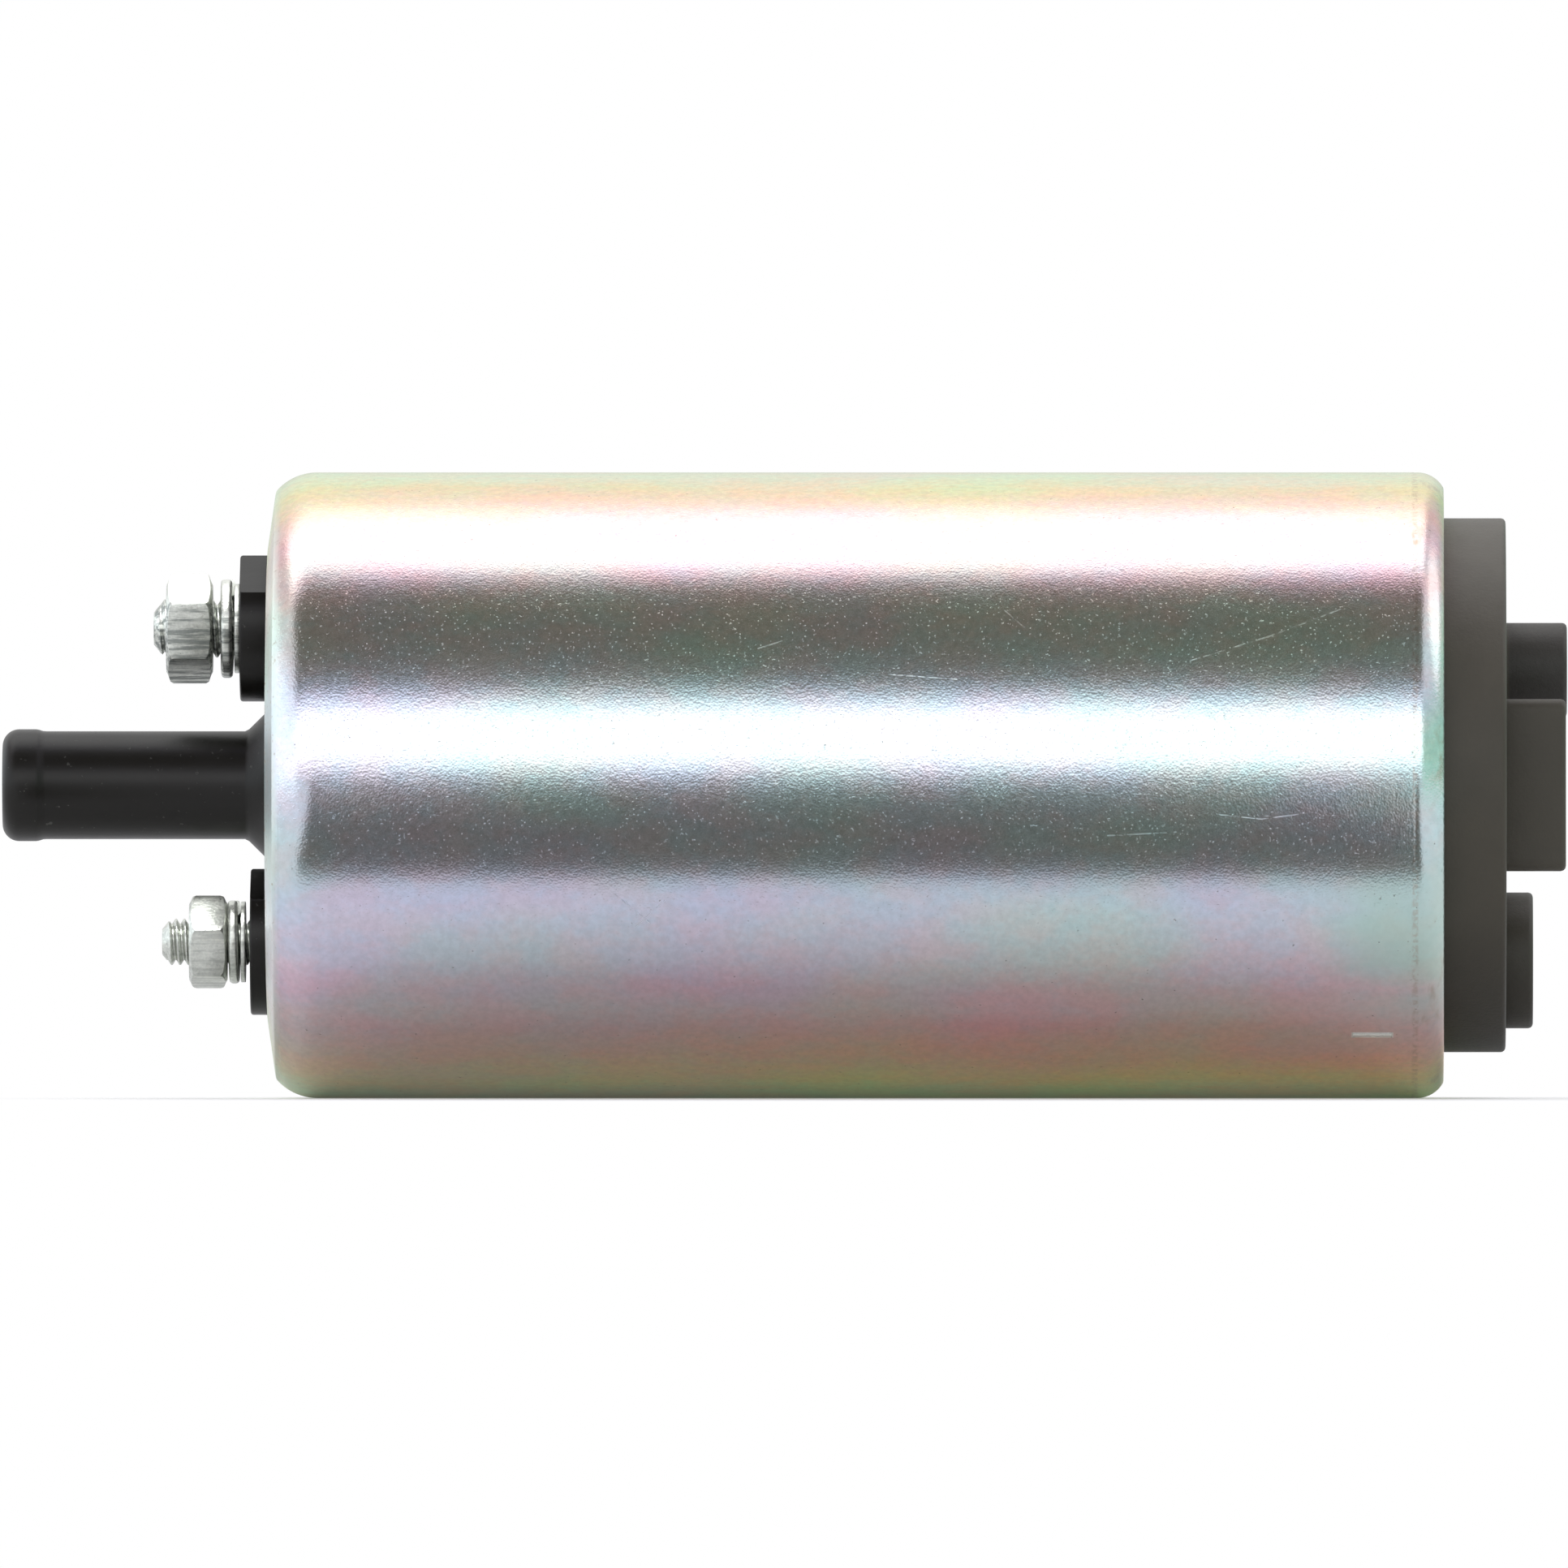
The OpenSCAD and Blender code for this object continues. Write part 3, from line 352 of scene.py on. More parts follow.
# The ends of each scratch in X and Z: x0, z0, x1, z1.
SCRATCHES = [
    (28.2, 10.4, 34.6, 12.4), (34.6, 12.4, 40.6, 14.7), (30.3, -2.4, 34.0, -2.8), (34.0, -2.8, 37.1, -2.4),
    (21.2, -4.2, 26.9, -3.9), (-20.0, -9.0, -17.0, -11.5), (-18.2, -11.8, -15.8, -9.6),
    (-8.0, 11.4, -5.4, 12.2), (3.0, 9.2, 8.6, 8.8), (12.6, 14.6, 14.2, 13.2),
]


def scratched(nodes, x, y, z):
    """1 along each short scratch on the front of the shell."""
    flat = nodes.add("CombineXYZ", {}, {"X": x, "Y": 0.0, "Z": z})
    found = 0.0
    for x0, z0, x1, z1 in SCRATCHES:
        run = (x1 - x0, 0.0, z1 - z0)
        reach = flat - (x0, 0.0, z0)
        share = (reach.dot(run) / ((x1 - x0) ** 2 + (z1 - z0) ** 2)).most(0.0).least(1.0)
        track = nodes.add("VectorMath", {"operation": "SCALE"}, {0: run, "Scale": share})
        found = (reach - track).length().ramp(0.07, 0.02) + found
    worn = nodes.noise(flat, 0.9, 3.0).ramp(0.35, 0.6)
    return found.least(1.0) * worn * y.ramp(-2.0, -4.0)


def film_and_sheen_colour(nodes, place, lean):
    """The colours of the film with a painted sheen. Lean is the height on the shell as a share of its radius,
    which says how far the surface turns away from the front; noise pushes it about.
    """
    x, z = place.parts()[::2]
    slow = nodes.noise(place * (0.16, 1.0, 1.0), 6.0, 2.0)
    fine = nodes.noise(place, 0.7, 4.0)
    film_and_sheen = nodes.stops(lean + (slow - 0.5) * 0.09 + (fine - 0.5) * 0.07, FILM_AND_SHEEN_BANDS)
    hue = nodes.noise(place * (0.35, 0.6, 0.6) + (11.0, 0.0, 0.0), 8.0, 2.0)
    film_and_sheen = film_and_sheen * nodes.mix(hue.ramp(0.35, 0.65), (1.05, 0.95, 1.04), (0.96, 1.04, 0.97))
    cool = x.ramp(25.0, -40.0) * z.ramp(-5.0, -9.0)
    film_and_sheen = nodes.mix(cool * 0.25, film_and_sheen, (0.60, 0.62, 0.80))
    # Violet below the axis and blue near the top: more painted sheen, the tints of the reflected softboxes'
    # edges.
    violet = z.ramp(-6.0, -10.0) * z.ramp(-21.0, -15.0)
    film_and_sheen = film_and_sheen * nodes.mix(violet, NEUTRAL, (1.02, 0.97, 1.10))
    film_and_sheen = film_and_sheen * nodes.mix(z.ramp(17.0, 22.0), NEUTRAL, (0.98, 0.97, 1.13))
    patch = nodes.noise(place * (0.7, 1.0, 1.0), 3.2, 4.0, 0.65)
    film_and_sheen = film_and_sheen * nodes.mix(patch.ramp(0.36, 0.64), (1.06, 0.97, 0.90), (0.95, 1.02, 0.97))
    mottle = nodes.noise(place, 0.6, 5.0, 0.7)
    film_and_sheen = film_and_sheen * nodes.mix(mottle.ramp(0.3, 0.7), (0.93, 0.93, 0.93), (1.07, 1.07, 1.07))
    green = x.ramp(37.0, 44.0) * z.ramp(-4.0, -9.0) * z.ramp(-22.0, -16.0) * slow.ramp(0.3, 0.5)
    return nodes.mix(green * 0.6, film_and_sheen, (0.52, 0.74, 0.64))


print("film colours", len(FILM_AND_SHEEN_BANDS), "scratches", len(SCRATCHES))


# %% Plated shell
# Where each mark begins and where it is full, in mm: along X, or away from the axis.
CRIMP_STAIN, TOOL_LINE_LEFT, TOOL_LINE_RIGHT = (45.6, 46.6), (46.5, 46.75), (47.2, 47.0)
BARE_LIP, CUT_EDGE = (-47.9, -48.6), (22.6, 20.2)
STAKE_LEFT, STAKE_RIGHT, STAKE_RIM = (41.5, 41.6), (45.1, 45.0), (0.40, 0.34)


def shell_relief(nodes, place, grain, marks):
    """Slow waves of the tube, crystals of the plating with bright flecks, and the scratches."""
    crystal = nodes.add("TexVoronoi", {}, {"Vector": place, "Scale": 5.0, "Randomness": 1.0})
    fleck = nodes.noise(place + (7.0, 0.0, 0.0), 0.22, 1.0).ramp(0.67, 0.75)
    bump = nodes.bump(nodes.noise(place, 3.0, 2.0), 0.010)
    bump = nodes.bump(crystal, 0.007, bump)
    bump = nodes.bump(grain, 0.005, bump)
    return nodes.bump(fleck - marks, 0.007, bump)


@finish("plated_shell")
def plated_shell(nodes, place):
    x, y, z = place.parts()
    across = (place * (0.0, 1.0, 1.0)).length()
    film_and_sheen = film_and_sheen_colour(nodes, place, abs(z) / across.most(1.0))
    specks = nodes.noise(place, 0.45, 2.0).ramp(0.72, 0.78)
    film_and_sheen = nodes.mix(specks * 0.6, film_and_sheen, (0.16, 0.13, 0.1))
    stain = x.ramp(*CRIMP_STAIN) * nodes.noise(place * (1.0, 0.4, 0.4), 1.6, 4.0).ramp(0.58, 0.72)
    tool_line = x.ramp(*TOOL_LINE_LEFT) * x.ramp(*TOOL_LINE_RIGHT)
    tool_line = tool_line * nodes.noise(place, 0.4, 2.0).ramp(0.4, 0.6)
    film_and_sheen = nodes.mix((stain * 0.5 + tool_line * 0.4).least(1.0), film_and_sheen, (0.45, 0.34, 0.26))
    raw = x.ramp(*BARE_LIP)
    film_and_sheen = nodes.mix(raw * 0.55, film_and_sheen, (0.66, 0.74, 0.66))
    cut_edge = raw * across.ramp(*CUT_EDGE)
    rust = nodes.noise(place, 0.45, 4.0).ramp(0.60, 0.70) * (raw * 0.45 + cut_edge * 0.5)
    film_and_sheen = nodes.mix(rust, film_and_sheen, (0.33, 0.22, 0.12))
    from_stake = (place * (0.0, 1.0, 1.0) - (0.0, *STAKE_SPOT)).length()
    stake = from_stake.ramp(*STAKE_RIM) * x.ramp(*STAKE_LEFT) * x.ramp(*STAKE_RIGHT)
    film_and_sheen = nodes.mix(stake, film_and_sheen, (0.80, 0.80, 0.77))
    marks = scratched(nodes, x, y, z)
    grain = nodes.noise(place, 0.3, 3.0, 0.6)
    return {
        "Base Color": film_and_sheen,
        "Metallic": 1.0 - rust * 0.9 - specks * 0.4,
        "Roughness": (0.19 + grain * 0.06 + marks * 0.14 + raw * 0.2 + rust * 0.2).least(1.0),
        "Normal": shell_relief(nodes, place, grain, marks),
    }


print("finishes so far", list(FINISH))

# %% [markdown]
# ### Moulded plastics
# The outlet cover is a glossy black glass-filled plastic: the moulding skin is smooth, with faint flow
# marks. The pump cover is a more matt, slightly brown dark grey. Its upper side is paler, which is dust with
# a painted highlight, and its lower part and the post behind the block are darker, which is painted shade.

# %% Moulded plastics
@finish("gloss_cover")
def gloss_cover(nodes, place):
    flow = nodes.noise(place * (0.3, 1.0, 1.0), 2.6, 3.0)
    pits = nodes.noise(place, 0.35, 3.0)
    dust = nodes.noise(place, 0.5, 3.0).ramp(0.66, 0.74)
    colour = nodes.mix(flow, (0.0025, 0.002, 0.0012), (0.007, 0.006, 0.004))
    return {
        "Base Color": nodes.mix(dust * 0.5, colour, (0.10, 0.10, 0.09)),
        "Roughness": 0.29 + flow * 0.15 + dust * 0.2,
        "Specular IOR Level": 0.34,
        "Normal": nodes.bump(pits, 0.006, nodes.bump(flow, 0.02)),
    }


@finish("matte_cover")
def matte_cover(nodes, place):
    x, y, z = place.parts()
    cloud = nodes.noise(place, 5.0, 4.0)
    grain = nodes.noise(place, 0.35, 4.0, 0.7)
    # Paler towards the top: dust with a painted highlight from above.
    dust = z.ramp(4.0, 22.0) * (0.5 + cloud)
    colour = nodes.mix(cloud * 0.6 + grain * 0.4, (0.034, 0.029, 0.020), (0.066, 0.056, 0.039))
    # Painted shade: darker towards the bottom, and darker still on the post that sits behind the block.
    painted_shade_low_and_post = z.ramp(-8.0, -20.0) * 0.45
    painted_shade_low_and_post = (x.ramp(54.6, 55.0) * y.ramp(2.0, 4.0) * 0.9 + painted_shade_low_and_post).least(1.0)
    colour = nodes.mix(painted_shade_low_and_post, colour, (0.011, 0.009, 0.007))
    return {
        "Base Color": nodes.mix(dust * 0.45, colour, (0.15, 0.138, 0.115)),
        "Roughness": 0.44 + grain * 0.16,
        "Normal": nodes.bump(grain, 0.03, nodes.bump(cloud, 0.05)),
    }


print("plastics ready")

# %% [markdown]
# ### Fasteners and the pieces inside
# Zinc plated nuts and studs have a dull skin with the fine lines of drawn bar. Inside are ground steel,
# spring steel, copper, enamelled wire, sintered bronze, ferrite, carbon, stacked steel sheet, pressboard
# and castings. They differ in colour, gloss and grain, so one function paints them from a few measures.

# %% Fasteners and inner pieces
def grained(nodes, place, dark, light, rough, grain, depth, metallic):
    """Two shades in clouds ten grains wide, with a fine grain in gloss and relief."""
    cloud = nodes.noise(place, grain * 10, 4.0)
    fine = nodes.noise(place, grain, 3.0, 0.6)
    return {
        "Base Color": nodes.mix((cloud * 0.6 + fine * 0.4).ramp(0.3, 0.7), dark, light),
        "Metallic": metallic,
        "Roughness": rough - 0.08 + fine * 0.16,
        "Normal": nodes.bump(fine, depth),
    }


@finish("plated_fasteners")
def plated_fasteners(nodes, place):
    """Lines of drawn bar run along X, fainter on the lower terminal, and the upper nut's top flat has none.
    Their strength by height is painted shade that darkens the upper terminal.
    """
    sockets = grained(nodes, place, (0.50, 0.52, 0.48), (0.80, 0.82, 0.76), 0.30, 0.22, 0.016, 0.9)
    z = place.parts()[2]
    wear = nodes.noise(place, 1.4, 4.0).ramp(0.58, 0.7)
    colour = nodes.mix(wear * 0.4, sockets["Base Color"], (0.86, 0.87, 0.78))
    lines = nodes.noise(place * (0.22, 2.6, 2.6), 1.1, 4.0, 0.65).ramp(0.44, 0.60)
    # Drawn-bar lines whose strength by height is painted shade: darker on the upper terminal, none on its
    # nut's top flat.
    drawn_lines_and_painted_shade = lines * (0.35 + z.ramp(0.0, 6.0) * 0.65) * z.ramp(15.7, 15.0)
    sockets["Base Color"] = nodes.mix(drawn_lines_and_painted_shade * 0.8, colour, (0.16, 0.18, 0.17))
    sockets["Roughness"] = sockets["Roughness"] + drawn_lines_and_painted_shade * 0.1
    return sockets


# Dark shade, light shade, roughness, width of a grain in mm, its relief in mm, metallic.
INNER = {
    "seal_rubber": ((0.012, 0.012, 0.012), (0.026, 0.026, 0.025), 0.55, 0.3, 0.010, 0.0),
    "copper": ((0.62, 0.28, 0.16), (0.86, 0.46, 0.30), 0.30, 0.3, 0.006, 1.0),
    "enamelled_wire": ((0.42, 0.13, 0.05), (0.62, 0.22, 0.09), 0.22, 0.4, 0.004, 0.7),
    "ferrite": ((0.045, 0.044, 0.045), (0.085, 0.083, 0.082), 0.62, 0.5, 0.020, 0.0),
    "brass": ((0.66, 0.46, 0.20), (0.84, 0.63, 0.32), 0.28, 0.3, 0.006, 1.0),
    "valve_plastic": ((0.62, 0.62, 0.58), (0.74, 0.74, 0.70), 0.42, 0.5, 0.008, 0.0),
    "spring_steel": ((0.42, 0.42, 0.42), (0.62, 0.62, 0.61), 0.26, 0.2, 0.004, 1.0),
    "ground_steel": ((0.55, 0.55, 0.55), (0.74, 0.74, 0.73), 0.20, 0.2, 0.003, 1.0),
    "bronze": ((0.40, 0.24, 0.13), (0.60, 0.38, 0.22), 0.48, 0.25, 0.014, 0.9),
    "holder_plastic": ((0.060, 0.026, 0.014), (0.100, 0.044, 0.024), 0.45, 0.5, 0.010, 0.0),
    "carbon": ((0.020, 0.020, 0.021), (0.045, 0.045, 0.047), 0.50, 0.3, 0.016, 0.0),
    "pressboard": ((0.30, 0.20, 0.11), (0.42, 0.30, 0.18), 0.75, 0.4, 0.020, 0.0),
    "impeller_plastic": ((0.030, 0.028, 0.026), (0.055, 0.052, 0.048), 0.46, 0.4, 0.010, 0.0),
    "cast_casing": ((0.34, 0.34, 0.34), (0.50, 0.50, 0.49), 0.46, 0.6, 0.030, 1.0),
}


def inner_finish(slot, measures):
    @finish(slot)
    def paint(nodes, place):
        return grained(nodes, place, *measures)


for slot, measures in INNER.items():
    inner_finish(slot, measures)


@finish("laminated_steel")
def laminated_steel(nodes, place):
    sockets = grained(nodes, place, (0.26, 0.27, 0.30), (0.40, 0.41, 0.44), 0.42, 0.3, 0.006, 1.0)
    x = place.parts()[0]
    sheet = abs(nodes.add("Math", {"operation": "PINGPONG"}, {0: x, 1: 0.25}) * 4)
    gap = sheet.ramp(0.75, 0.95)
    sockets["Base Color"] = nodes.mix(gap * 0.7, sockets["Base Color"], (0.05, 0.05, 0.06))
    sockets["Normal"] = nodes.bump(1 - gap, 0.03, sockets["Normal"])
    return sockets


missing = {material["slot"] for material in frame["record"]["materials"]} - set(FINISH)
print("finishes", len(FINISH), "missing", sorted(missing))

# %% [markdown]
# ## Modelling helpers
# Shapes are modelled in millimetres and turned into metres at the end. Most of the pump is turned on a
# lathe, so the main tool is spin: a line of points (x, r) goes once round the X axis. Sharp corners don't
# exist on real pieces, so ring edges are bevelled after the spin. Solids are joined and cut with Booleans.

# %% Small steps
def sine(degrees):
    return math.sin(math.radians(degrees))


def cosine(degrees):
    return math.cos(math.radians(degrees))


def drawn(points, loop=False):
    """A line through points; a loop ends where it starts."""
    bm = bmesh.new()
    line = [bm.verts.new(point) for point in points]
    for pair in zip(line, line[1:]):
        bm.edges.new(pair)
    if loop:
        bm.edges.new((line[-1], line[0]))
    return bm


def moved(bm, x=0.0, y=0.0, z=0.0):
    bmesh.ops.translate(bm, vec=(x, y, z), verts=bm.verts)
    return bm


def turned(bm, degrees, axis="X", x=0.0):
    """Turns a shape about an axis that meets the X axis at x."""
    bmesh.ops.rotate(bm, cent=(x, 0, 0), matrix=Matrix.Rotation(math.radians(degrees), 3, axis),
                     verts=bm.verts)
    return bm


def spun(bm, degrees, steps, advance=0.0, whole=False):
    """Spins a line or ring about X while it moves on by the advance; a whole turn closes on its start."""
    bmesh.ops.spin(bm, geom=bm.verts[:] + bm.edges[:], cent=(0, 0, 0), axis=(1, 0, 0),
                   dvec=(advance / steps, 0, 0), angle=math.radians(degrees), steps=steps, use_merge=whole)
    return bm


def bevel(bm, parts, width, segments, affect="EDGES"):
    bmesh.ops.bevel(bm, geom=parts, offset=width, offset_type="OFFSET", segments=segments, profile=0.5,
                    affect=affect, clamp_overlap=True, material=-1)
    return bm


def cut_off(bm, place, way):
    """Cuts away what lies beyond a plane and leaves the cut open."""
    bmesh.ops.bisect_plane(bm, geom=bm.verts[:] + bm.edges[:] + bm.faces[:], plane_co=place,
                           plane_no=way, clear_outer=True)
    return bm


def closed(bm):
    """Fills the open ends of a shape and turns its faces outwards."""
    bmesh.ops.holes_fill(bm, edges=[edge for edge in bm.edges if edge.is_boundary], sides=0)
    bmesh.ops.recalc_face_normals(bm, faces=bm.faces)
    return bm


print("small steps ready")


# %% Turned shapes
# Points closer together than this, in mm, become one.
MERGE = 0.0005


def arc(x, r, radius, start, end, steps=8):
    """Points (x, r) of a rounded corner round (x, r); 0 degrees points outwards and 90 along +X."""
    turns = [math.radians(start + (end - start) * i / steps) for i in range(steps + 1)]
    return [(x + radius * math.sin(a), r + radius * math.cos(a)) for a in turns]


def lathe(profile, steps=96, first=0.0):
    """A closed solid spun about X from points (x, r); first is the angle that the spin starts at."""
    hollow = profile[0][1] > 0 or profile[-1][1] > 0
    bm = turned(drawn([(x, 0, r) for x, r in profile], loop=hollow), first)
    spun(bm, 360, steps, whole=True)
    bmesh.ops.remove_doubles(bm, verts=bm.verts, dist=MERGE)
    bmesh.ops.recalc_face_normals(bm, faces=bm.faces)
    return bm


def round_rings(bm, corners, width, segments=3):
    """Bevels the ring edges that run through these points (x, r)."""
    def at(vert, x, r):
        return abs(vert.co.x - x) < 1e-3 and abs(math.hypot(vert.co.y, vert.co.z) - r) < 1e-3
    rings = [e for e in bm.edges if any(at(e.verts[0], *c) and at(e.verts[1], *c) for c in corners)]
    return bevel(bm, rings, width, segments)


def rod(x0, x1, radius, steps=96, edge=0.0, first=0.0):
    """A round rod along X; edge is the rounding of both its ends."""
    bm = lathe([(x0, 0), (x0, radius), (x1, radius), (x1, 0)], steps, first)
    return round_rings(bm, [(x0, radius), (x1, radius)], edge) if edge else bm


print("turned shapes ready")


# %% Booleans and pieces
def tool(bm):
    """An object for a Boolean to work with, for a moment."""
    mesh = bpy.data.meshes.new("Tool")
    bm.to_mesh(mesh)
    bm.free()
    obj = bpy.data.objects.new("Tool", mesh)
    scene.collection.objects.link(obj)
    return obj


def combine(body, joined=(), cut=(), common=()):
    """Joins solids to a body, cuts others out of it, and keeps what it shares with the last ones."""
    base = tool(body)
    tools = []
    for operation, solids in (("UNION", joined), ("DIFFERENCE", cut), ("INTERSECT", common)):
        for solid in solids:
            modifier = base.modifiers.new(operation, "BOOLEAN")
            modifier.operation, modifier.solver = operation, "EXACT"
            modifier.object = tool(solid)
            tools.append(modifier.object)
    bpy.context.view_layer.update()
    shown = base.evaluated_get(bpy.context.evaluated_depsgraph_get())
    bm = bmesh.new()
    bm.from_mesh(shown.to_mesh())
    shown.to_mesh_clear()
    for obj in (base, *tools):
        bpy.data.objects.remove(obj)
    return bm


def piece(name, bm, slot, body, nodes=(), sharp=32):
    """Turns a finished shape into a piece: in metres, shaded, painted, and riding on its body."""
    bmesh.ops.scale(bm, vec=(MM, MM, MM), verts=bm.verts)
    for face in bm.faces:
        face.smooth = True
    for edge in bm.edges:
        edge.smooth = len(edge.link_faces) != 2 or edge.calc_face_angle() < math.radians(sharp)
    mesh = bpy.data.meshes.new(name)
    bm.to_mesh(mesh)
    bm.free()
    obj = bpy.data.objects.new(name, mesh)
    scene.collection.objects.link(obj)
    mesh.materials.append(FINISH[slot])
    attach(obj, body)
    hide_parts(*(nodes or [name]))
    open_edges = 2 * len(mesh.edges) - sum(len(polygon.vertices) for polygon in mesh.polygons)
    print(name, "faces", len(mesh.polygons), "open edges", open_edges)
    return obj


print("pieces can be made")

# %% [markdown]
# ## Housing shell
# The shell is a steel tube. One end is rolled over the outlet cover and the other is crimped over the pump
# cover, which holds the whole pump together. It is spun from its section: lip, rolled shoulder, tube, the
# fine line where the crimp tool ended, crimp, and back along the bore. The press also left one stake mark,
# which is inset and pushed into a face of the tube that lies at its angle.

# %% Housing shell
SHELL_R, BORE_R = 26.25, 24.65
X_OUT, X_IN = -49.3, 49.3
LIP_R, LIP_T, LIP_TILT = 19.9, 1.9, 8
SHOULDER_R, SHOULDER_TURN, SHOULDER_EDGE = 4.5, 47, 0.6
CRIMP_R, CRIMP_TURN, CRIMP_EDGE, CRIMP_T = 2.5, 60, 0.3, 1.3
CRIMP_HOLE_R = 22.5
TOOL_LINE_R = SHELL_R - 0.01
STAKE_X0, STAKE_X1, STAKE_MARGIN, STAKE_SLOPE, STAKE_DEPTH = 41.6, 45.0, 0.09, 0.06, 0.25
SHELL_STEPS = 192

crimp_x = X_IN - (CRIMP_R - CRIMP_EDGE) * sine(CRIMP_TURN) - CRIMP_EDGE
crimp_r = SHELL_R - CRIMP_R
rim_x = crimp_x + (CRIMP_R - CRIMP_EDGE) * sine(CRIMP_TURN)
rim_r = crimp_r + (CRIMP_R - CRIMP_EDGE) * cosine(CRIMP_TURN)
edge_r = SHELL_R - SHOULDER_R + (SHOULDER_R - SHOULDER_EDGE) * cosine(SHOULDER_TURN)
edge_x = X_OUT + (edge_r + SHOULDER_EDGE * sine(LIP_TILT) - LIP_R) * math.tan(math.radians(LIP_TILT))
edge_x += SHOULDER_EDGE * cosine(LIP_TILT)
roll_x = edge_x + (SHOULDER_R - SHOULDER_EDGE) * sine(SHOULDER_TURN)
shell_profile = [
    (X_OUT + LIP_T, LIP_R), (X_OUT + 0.12, LIP_R), (X_OUT, LIP_R + 0.12),
    *arc(edge_x, edge_r, SHOULDER_EDGE, LIP_TILT - 90, -SHOULDER_TURN, 5),
    *arc(roll_x, SHELL_R - SHOULDER_R, SHOULDER_R, -SHOULDER_TURN, 0, 14)[1:],
    (roll_x + 0.15, SHELL_R), (-40.0, SHELL_R), (STAKE_X0, SHELL_R), (STAKE_X1, SHELL_R),
    (46.68, SHELL_R), (46.76, SHELL_R - 0.002),
    (46.84, TOOL_LINE_R), (46.92, TOOL_LINE_R), (47.0, TOOL_LINE_R),
    *arc(crimp_x, crimp_r, CRIMP_R, 0, CRIMP_TURN, 10),
    *arc(rim_x, rim_r, CRIMP_EDGE, CRIMP_TURN, 90, 3)[1:],
    (X_IN, CRIMP_HOLE_R + 0.1), (X_IN - 0.1, CRIMP_HOLE_R), (X_IN - CRIMP_T, CRIMP_HOLE_R),
    (X_IN - CRIMP_T, BORE_R), (X_OUT + LIP_T + 1.5, BORE_R), (X_OUT + LIP_T, BORE_R - 0.7),
]
column = 360 / SHELL_STEPS
shell = lathe(shell_profile, SHELL_STEPS, first=(90 + STAKE_ANGLE) % column + column / 2)
stake_at = Vector((0, -cosine(STAKE_ANGLE), -sine(STAKE_ANGLE)))


def off_stake(face):
    """How far a face is from where the stake mark belongs."""
    place = face.calc_center_median()
    along = abs(place.x - (STAKE_X0 + STAKE_X1) / 2)
    return along + (Vector((0, place.y, place.z)) - stake_at * SHELL_R).length


stake = min(shell.faces, key=off_stake)
bmesh.ops.inset_region(shell, faces=[stake], thickness=STAKE_MARGIN, depth=0)
bmesh.ops.inset_region(shell, faces=[stake], thickness=STAKE_SLOPE, depth=-STAKE_DEPTH)
stake_place = stake.calc_center_median()
piece("Steel_Housing", shell, "plated_shell", "pump_body", ["housing_shell"], sharp=30)
print("stake mark at", [round(c, 2) for c in stake_place])

# %% [markdown]
# ## Outlet cover
# The outlet cover is one moulding: a cup that closes the shell, with the hose nipple in the middle, a tower
# under each terminal, a hub that takes the check valve and the bearing, and a boss for the relief valve.
# The cup, nipple and hub share an axis, so one section makes them. The towers are joined to it and bores
# cut out.

# %% Outlet cover
TOWER_PITCH, TOWER_R = 13.15, 6.13
X_FACE, X_SHOULDER, X_WALL, X_SKIRT, X_HUB = -48.4, -47.38, -44.48, -34.0, -28.5
X_TIP, X_CONE, X_STEP, X_BUSH = -71.6, -51.0, -50.0, -34.5
COVER_R, SKIRT_R, HUB_R, COVER_FACE_R = 24.61, 21.01, 9.0, 19.6
NIPPLE_R, BEAD_R, BEAD_LEN, TIP_ROUND, NIPPLE_BORE = 4.53, 4.7, 3.4, 1.4, 3.0
CHAMBER_R, BUSH_HOLE_R = 4.2, 5.54
SEAL_X0, SEAL_X1, SEAL_GROOVE_R = -39.38, -36.88, COVER_R - 2.04
RELIEF_Y, RELIEF_BOSS_R, RELIEF_BORE, X_RELIEF = 12.5, 4.4, 2.2, -36.88
STUD_R = {"m5": 2.45, "m4": 1.95}
HEAD_R = {"m5": 4.2, "m4": 3.6}
TOWER_X = {"m5": -51.65, "m4": -50.77}
SIDE = {"m5": 1, "m4": -1}
FLAT_ANGLE = {"m5": 29.5, "m4": 35.7}
HOLE_TURN = 1.1
nipple_foot = NIPPLE_R + X_FACE - X_CONE

cover_profile = [
    (X_TIP + 0.35, NIPPLE_BORE), *arc(X_TIP + TIP_ROUND, BEAD_R - TIP_ROUND, TIP_ROUND, -80, 0, 10),
    (X_TIP + BEAD_LEN - 0.6, BEAD_R), (X_TIP + BEAD_LEN - 0.35, BEAD_R - 0.04),
    (X_TIP + BEAD_LEN, NIPPLE_R + 0.02), (X_TIP + BEAD_LEN + 0.3, NIPPLE_R),
    (X_CONE - 0.25, NIPPLE_R), (X_CONE + 0.1, NIPPLE_R + 0.18), (X_FACE - 0.15, nipple_foot - 0.1),
    (X_FACE, nipple_foot + 0.2), (X_FACE, COVER_FACE_R), (X_SHOULDER, COVER_FACE_R),
    (X_SHOULDER, BORE_R - 0.78), (X_SHOULDER + 1.5, COVER_R), (SEAL_X0, COVER_R),
    (SEAL_X0, SEAL_GROOVE_R), (SEAL_X1, SEAL_GROOVE_R), (SEAL_X1, COVER_R),
    (X_SKIRT, COVER_R), (X_SKIRT, SKIRT_R), (X_WALL, SKIRT_R),
    (X_WALL, HUB_R), (X_HUB, HUB_R), (X_HUB, BUSH_HOLE_R), (X_BUSH, BUSH_HOLE_R), (X_BUSH, CHAMBER_R),
    (X_STEP, CHAMBER_R), (X_STEP, NIPPLE_BORE),
]


